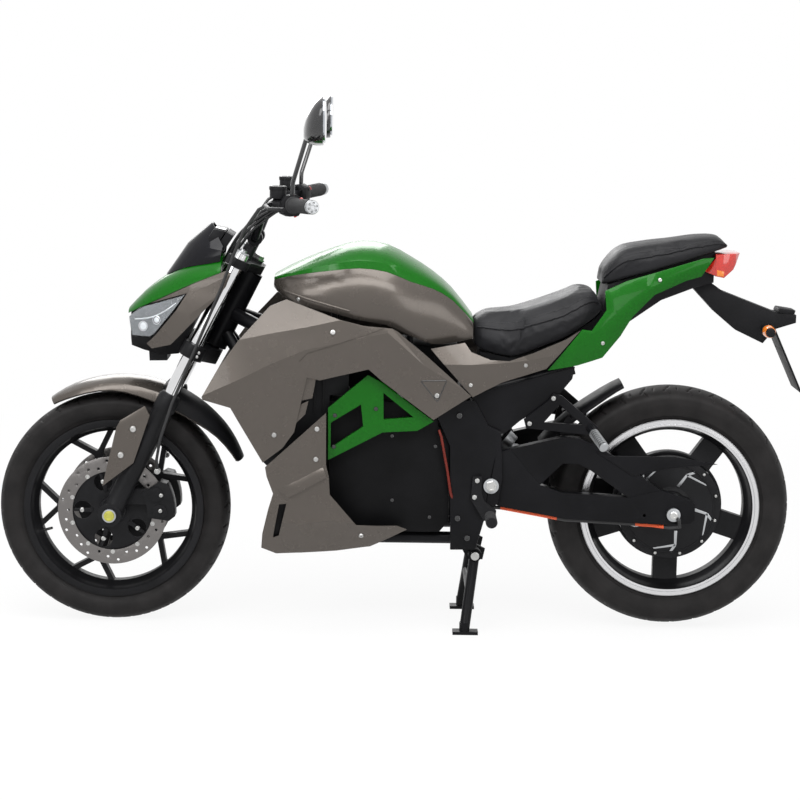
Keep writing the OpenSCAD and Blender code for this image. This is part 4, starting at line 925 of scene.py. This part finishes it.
spring.tube([top + d * (first + (last - first) * t) + spoke(u, v, t * SPRING_TURN) * SPRING_R
             for t in np.linspace(0, 1, 260)], SPRING_WIRE, 10)
spring.make(angle=60)
nuts.make()

# Electronics case inside the body, the pocket line in the shroud, and the battery's lead
BOX_SIDE = [(-148, 640), (-148, 716), (-20, 730), (60, 742), (226, 742), (226, 655), (150, 650),
            (120, 612), (-70, 612)]
box = Pile("charger_case", "chassis", CASE, "case_dark")
box.slab(flat(BOX_SIDE, -0.080), (0, 0.160, 0))
for side in SIDES:
    for x in range(-124, 197, 40):
        rib(box, x, 668 if x > 110 or x < -70 else 630, 700, 3, side * 0.0795, side * 0.0055)
box.make(0.004)
CORNERS = [(-0.052, 0.652), (-0.116, 0.653), (-0.094, 0.600)]
pocket = Pile("shroud_pockets", "chassis", GLOSS, "plastic_black")
for side in SIDES:
    line = [(xa + (xb - xa) * t, za + (zb - za) * t)
            for (xa, za), (xb, zb) in zip(CORNERS, CORNERS[1:] + CORNERS[:1])
            for t in np.linspace(0.04, 0.96, 9)]
    pocket.tube(laid("side_shrouds", line + line[:1], side, 0.0002), 0.0014, 8)
pocket.make(angle=60)
LEAD_LINE = [(-0.100, 0.522), (-0.106, 0.506), (-0.114, 0.465), (-0.123, 0.418), (-0.131, 0.367),
             (-0.136, 0.350)]
met = [cast(name, x, z)[0] for x, z in LEAD_LINE for name in ("battery_case", "pivot_plates")]
level = max(at.y for at in met if at) + 0.0026
path = [Vector((x, level, z)) for x, z in LEAD_LINE]
for end in (path[0], path[-1]):
    end.y -= 0.006
lead = Pile("battery_lead", "chassis", LEAD, "cable")
lead.tube(path, 0.0034, 12)
lead.make(angle=60)

# Louvres in the shroud's opening, the belly pan's ledge and the fold along the tank
LOUVRES = [[(240, 716), (206, 712), (212, 676), (240, 684)],
           [(239, 676), (202, 668), (213, 606), (248, 598)],
           [(248, 588), (222, 600), (230, 566), (262, 534)]]
LEDGE_TOP = [(0.300, 0.376), (0.262, 0.396), (0.223, 0.416), (0.186, 0.436)]
LEDGE_LOW = [(0.268, 0.360), (0.240, 0.376), (0.208, 0.394), (0.176, 0.412)]
FOLD = [(0.285 - 0.160 * t, 0.862 - 0.042 * t) for t in np.linspace(0, 1, 16)]
louvre = Pile("shroud_louvres", "chassis", GRAPHITE, "body_graphite")
ledge = Pile("belly_ledges", "chassis", GRAPHITE, "body_graphite")
fold = Pile("tank_folds", "chassis", GRAPHITE, "body_graphite")
for side in SIDES:
    for shape in LOUVRES:
        louvre.slab([(x / 1000, side * (0.1885 + (z - 534) * 2.2e-5), z / 1000) for x, z in shape],
                    (0, side * 0.004, 0))
    verts = laid("belly_pan", LEDGE_TOP, side, 0.0004)
    for lift in (0.0085, -0.0010):
        verts += laid("belly_pan", LEDGE_LOW, side, lift)
    faces = []
    for i in range(3):
        faces += [(i, i + 1, 5 + i, 4 + i), (4 + i, 5 + i, 9 + i, 8 + i), (8 + i, 9 + i, i + 1, i)]
    ledge.add(verts, faces + [(0, 4, 8), (3, 11, 7)])
    fold.tube(laid("tank_body", FOLD, side, 0.0002), 0.0030, 12)
louvre.make(0.001)
ledge.make(0.0008, 30)
fold.make(angle=60)

# Wings of the tail lamp, along the tail's sides
WING = [(-0.7835, 0.0718, 0.9540), (-0.7690, 0.0660, 0.9350), (-0.7570, 0.0605, 0.9190),
        (-0.7700, 0.0655, 0.9140), (-0.7835, 0.0718, 0.9090)]
WING_IN = 0.0585
wing = Pile("tail_lamp_wings", "chassis", RED, "red_lens")
for side in SIDES:
    verts = [(x, side * y, z) for x, y, z in WING] + [(x, side * WING_IN, z) for x, _, z in WING]
    wing.add(verts, [(0, 1, 2, 3, 4), (9, 8, 7, 6, 5)]
             + [(i, (i + 1) % 5, 5 + (i + 1) % 5, 5 + i) for i in range(5)])
wing.make(0.0008, 30)

# Floor, light and camera
FLOOR_R = 9
FADE = (1.4, 3.4)  # radii between which the floor turns white
WORLD_LIGHT = 0.36
# Name, place, aim, size, power
LAMPS = [("top_box", (0.2, 0.7, 3.4), (0, 0, 0.6), (3.6, 1.8), 90),
         ("sky_box", (0.0, 3.0, 3.3), (0, 0, 0.7), (4.6, 1.1), 85),
         ("key_box", (2.6, 3.2, 2.4), (0.1, 0, 0.6), (1.8, 1.8), 35),
         ("fill_box", (-2.8, 3.0, 1.6), (-0.2, 0, 0.6), (1.8, 1.6), 20),
         ("far_box", (0.8, -3.6, 2.4), (0, 0, 0.6), (2.4, 1.8), 55)]
CAMERA, AIM = Vector((0.030, 5.250, 1.410)), Vector((-0.003, 0, 0.57428))
LENS_MM, ROLL = 94.05, math.radians(0.846)


def shown(nt):
    """1 for rays from the camera, from mirrors and through lenses."""
    rays = node(nt, "LightPath", {}).outputs
    seen = math_node(nt, "MAXIMUM", rays["Is Camera Ray"], rays["Is Glossy Ray"])
    return math_node(nt, "MAXIMUM", seen, rays["Is Transmission Ray"])


def floor():
    mesh = bpy.data.meshes.new("floor")
    bm = bmesh.new()
    angles = np.linspace(0, 2 * math.pi, 64, endpoint=False)
    bm.faces.new([bm.verts.new((FLOOR_R * math.cos(a), FLOOR_R * math.sin(a), 0)) for a in angles])
    bm.to_mesh(mesh)
    bm.free()
    obj = bpy.data.objects.new("floor", mesh)
    bpy.context.scene.collection.objects.link(obj)
    mat, nt, bsdf = new_material("floor_paper")
    feed(nt, bsdf, {"Base Color": ramp(nt, noise(nt, 3.0), (1, 1, 1), 0.86, 0.90), "Roughness": 0.9,
                    "Specular IOR Level": 0.1})
    far = node(nt, "VectorMath", {0: place(nt)}, operation="LENGTH").outputs["Value"]
    white = math_node(nt, "MULTIPLY", shown(nt), spread(nt, far, 0.90, 1.0, FADE))
    glow = node(nt, "Emission", {})
    mix = node(nt, "MixShader", {0: white, 1: bsdf.outputs[0], 2: glow.outputs[0]})
    feed(nt, nt.nodes["Material Output"], {"Surface": mix.outputs[0]})
    mesh.materials.append(mat)


def area(name, at, look, size, power):
    data = bpy.data.lights.new(name, "AREA")
    data.shape = "RECTANGLE"
    data.size, data.size_y = size
    data.energy = power
    obj = bpy.data.objects.new(name, data)
    bpy.context.scene.collection.objects.link(obj)
    obj.location = at
    obj.visible_camera = False
    obj.rotation_euler = (Vector(look) - Vector(at)).to_track_quat("-Z", "Y").to_euler()


def world():
    w = bpy.data.worlds.new("studio")
    bpy.context.scene.world = w
    w.use_nodes = True
    nt = w.node_tree
    light = spread(nt, shown(nt), WORLD_LIGHT, 1.0)
    feed(nt, nt.nodes["Background"], {"Color": (1, 1, 1, 1), "Strength": light})


def camera():
    data = bpy.data.cameras.new("photo_camera")
    data.sensor_width = 36.0
    data.lens = LENS_MM
    data.clip_end = 60
    obj = bpy.data.objects.new("photo_camera", data)
    bpy.context.scene.collection.objects.link(obj)
    f = (AIM - CAMERA).normalized()
    right = f.cross(UP).normalized()
    up = right.cross(f)
    right, up = spoke(right, up, ROLL), spoke(up, -right, ROLL)
    obj.matrix_world = Matrix.Translation(CAMERA) @ Matrix((right, up, -f)).transposed().to_4x4()
    bpy.context.scene.camera = obj


bpy.context.scene.view_settings.view_transform = "Standard"
floor()
world()
camera()
for lamp in LAMPS:
    area(*lamp)
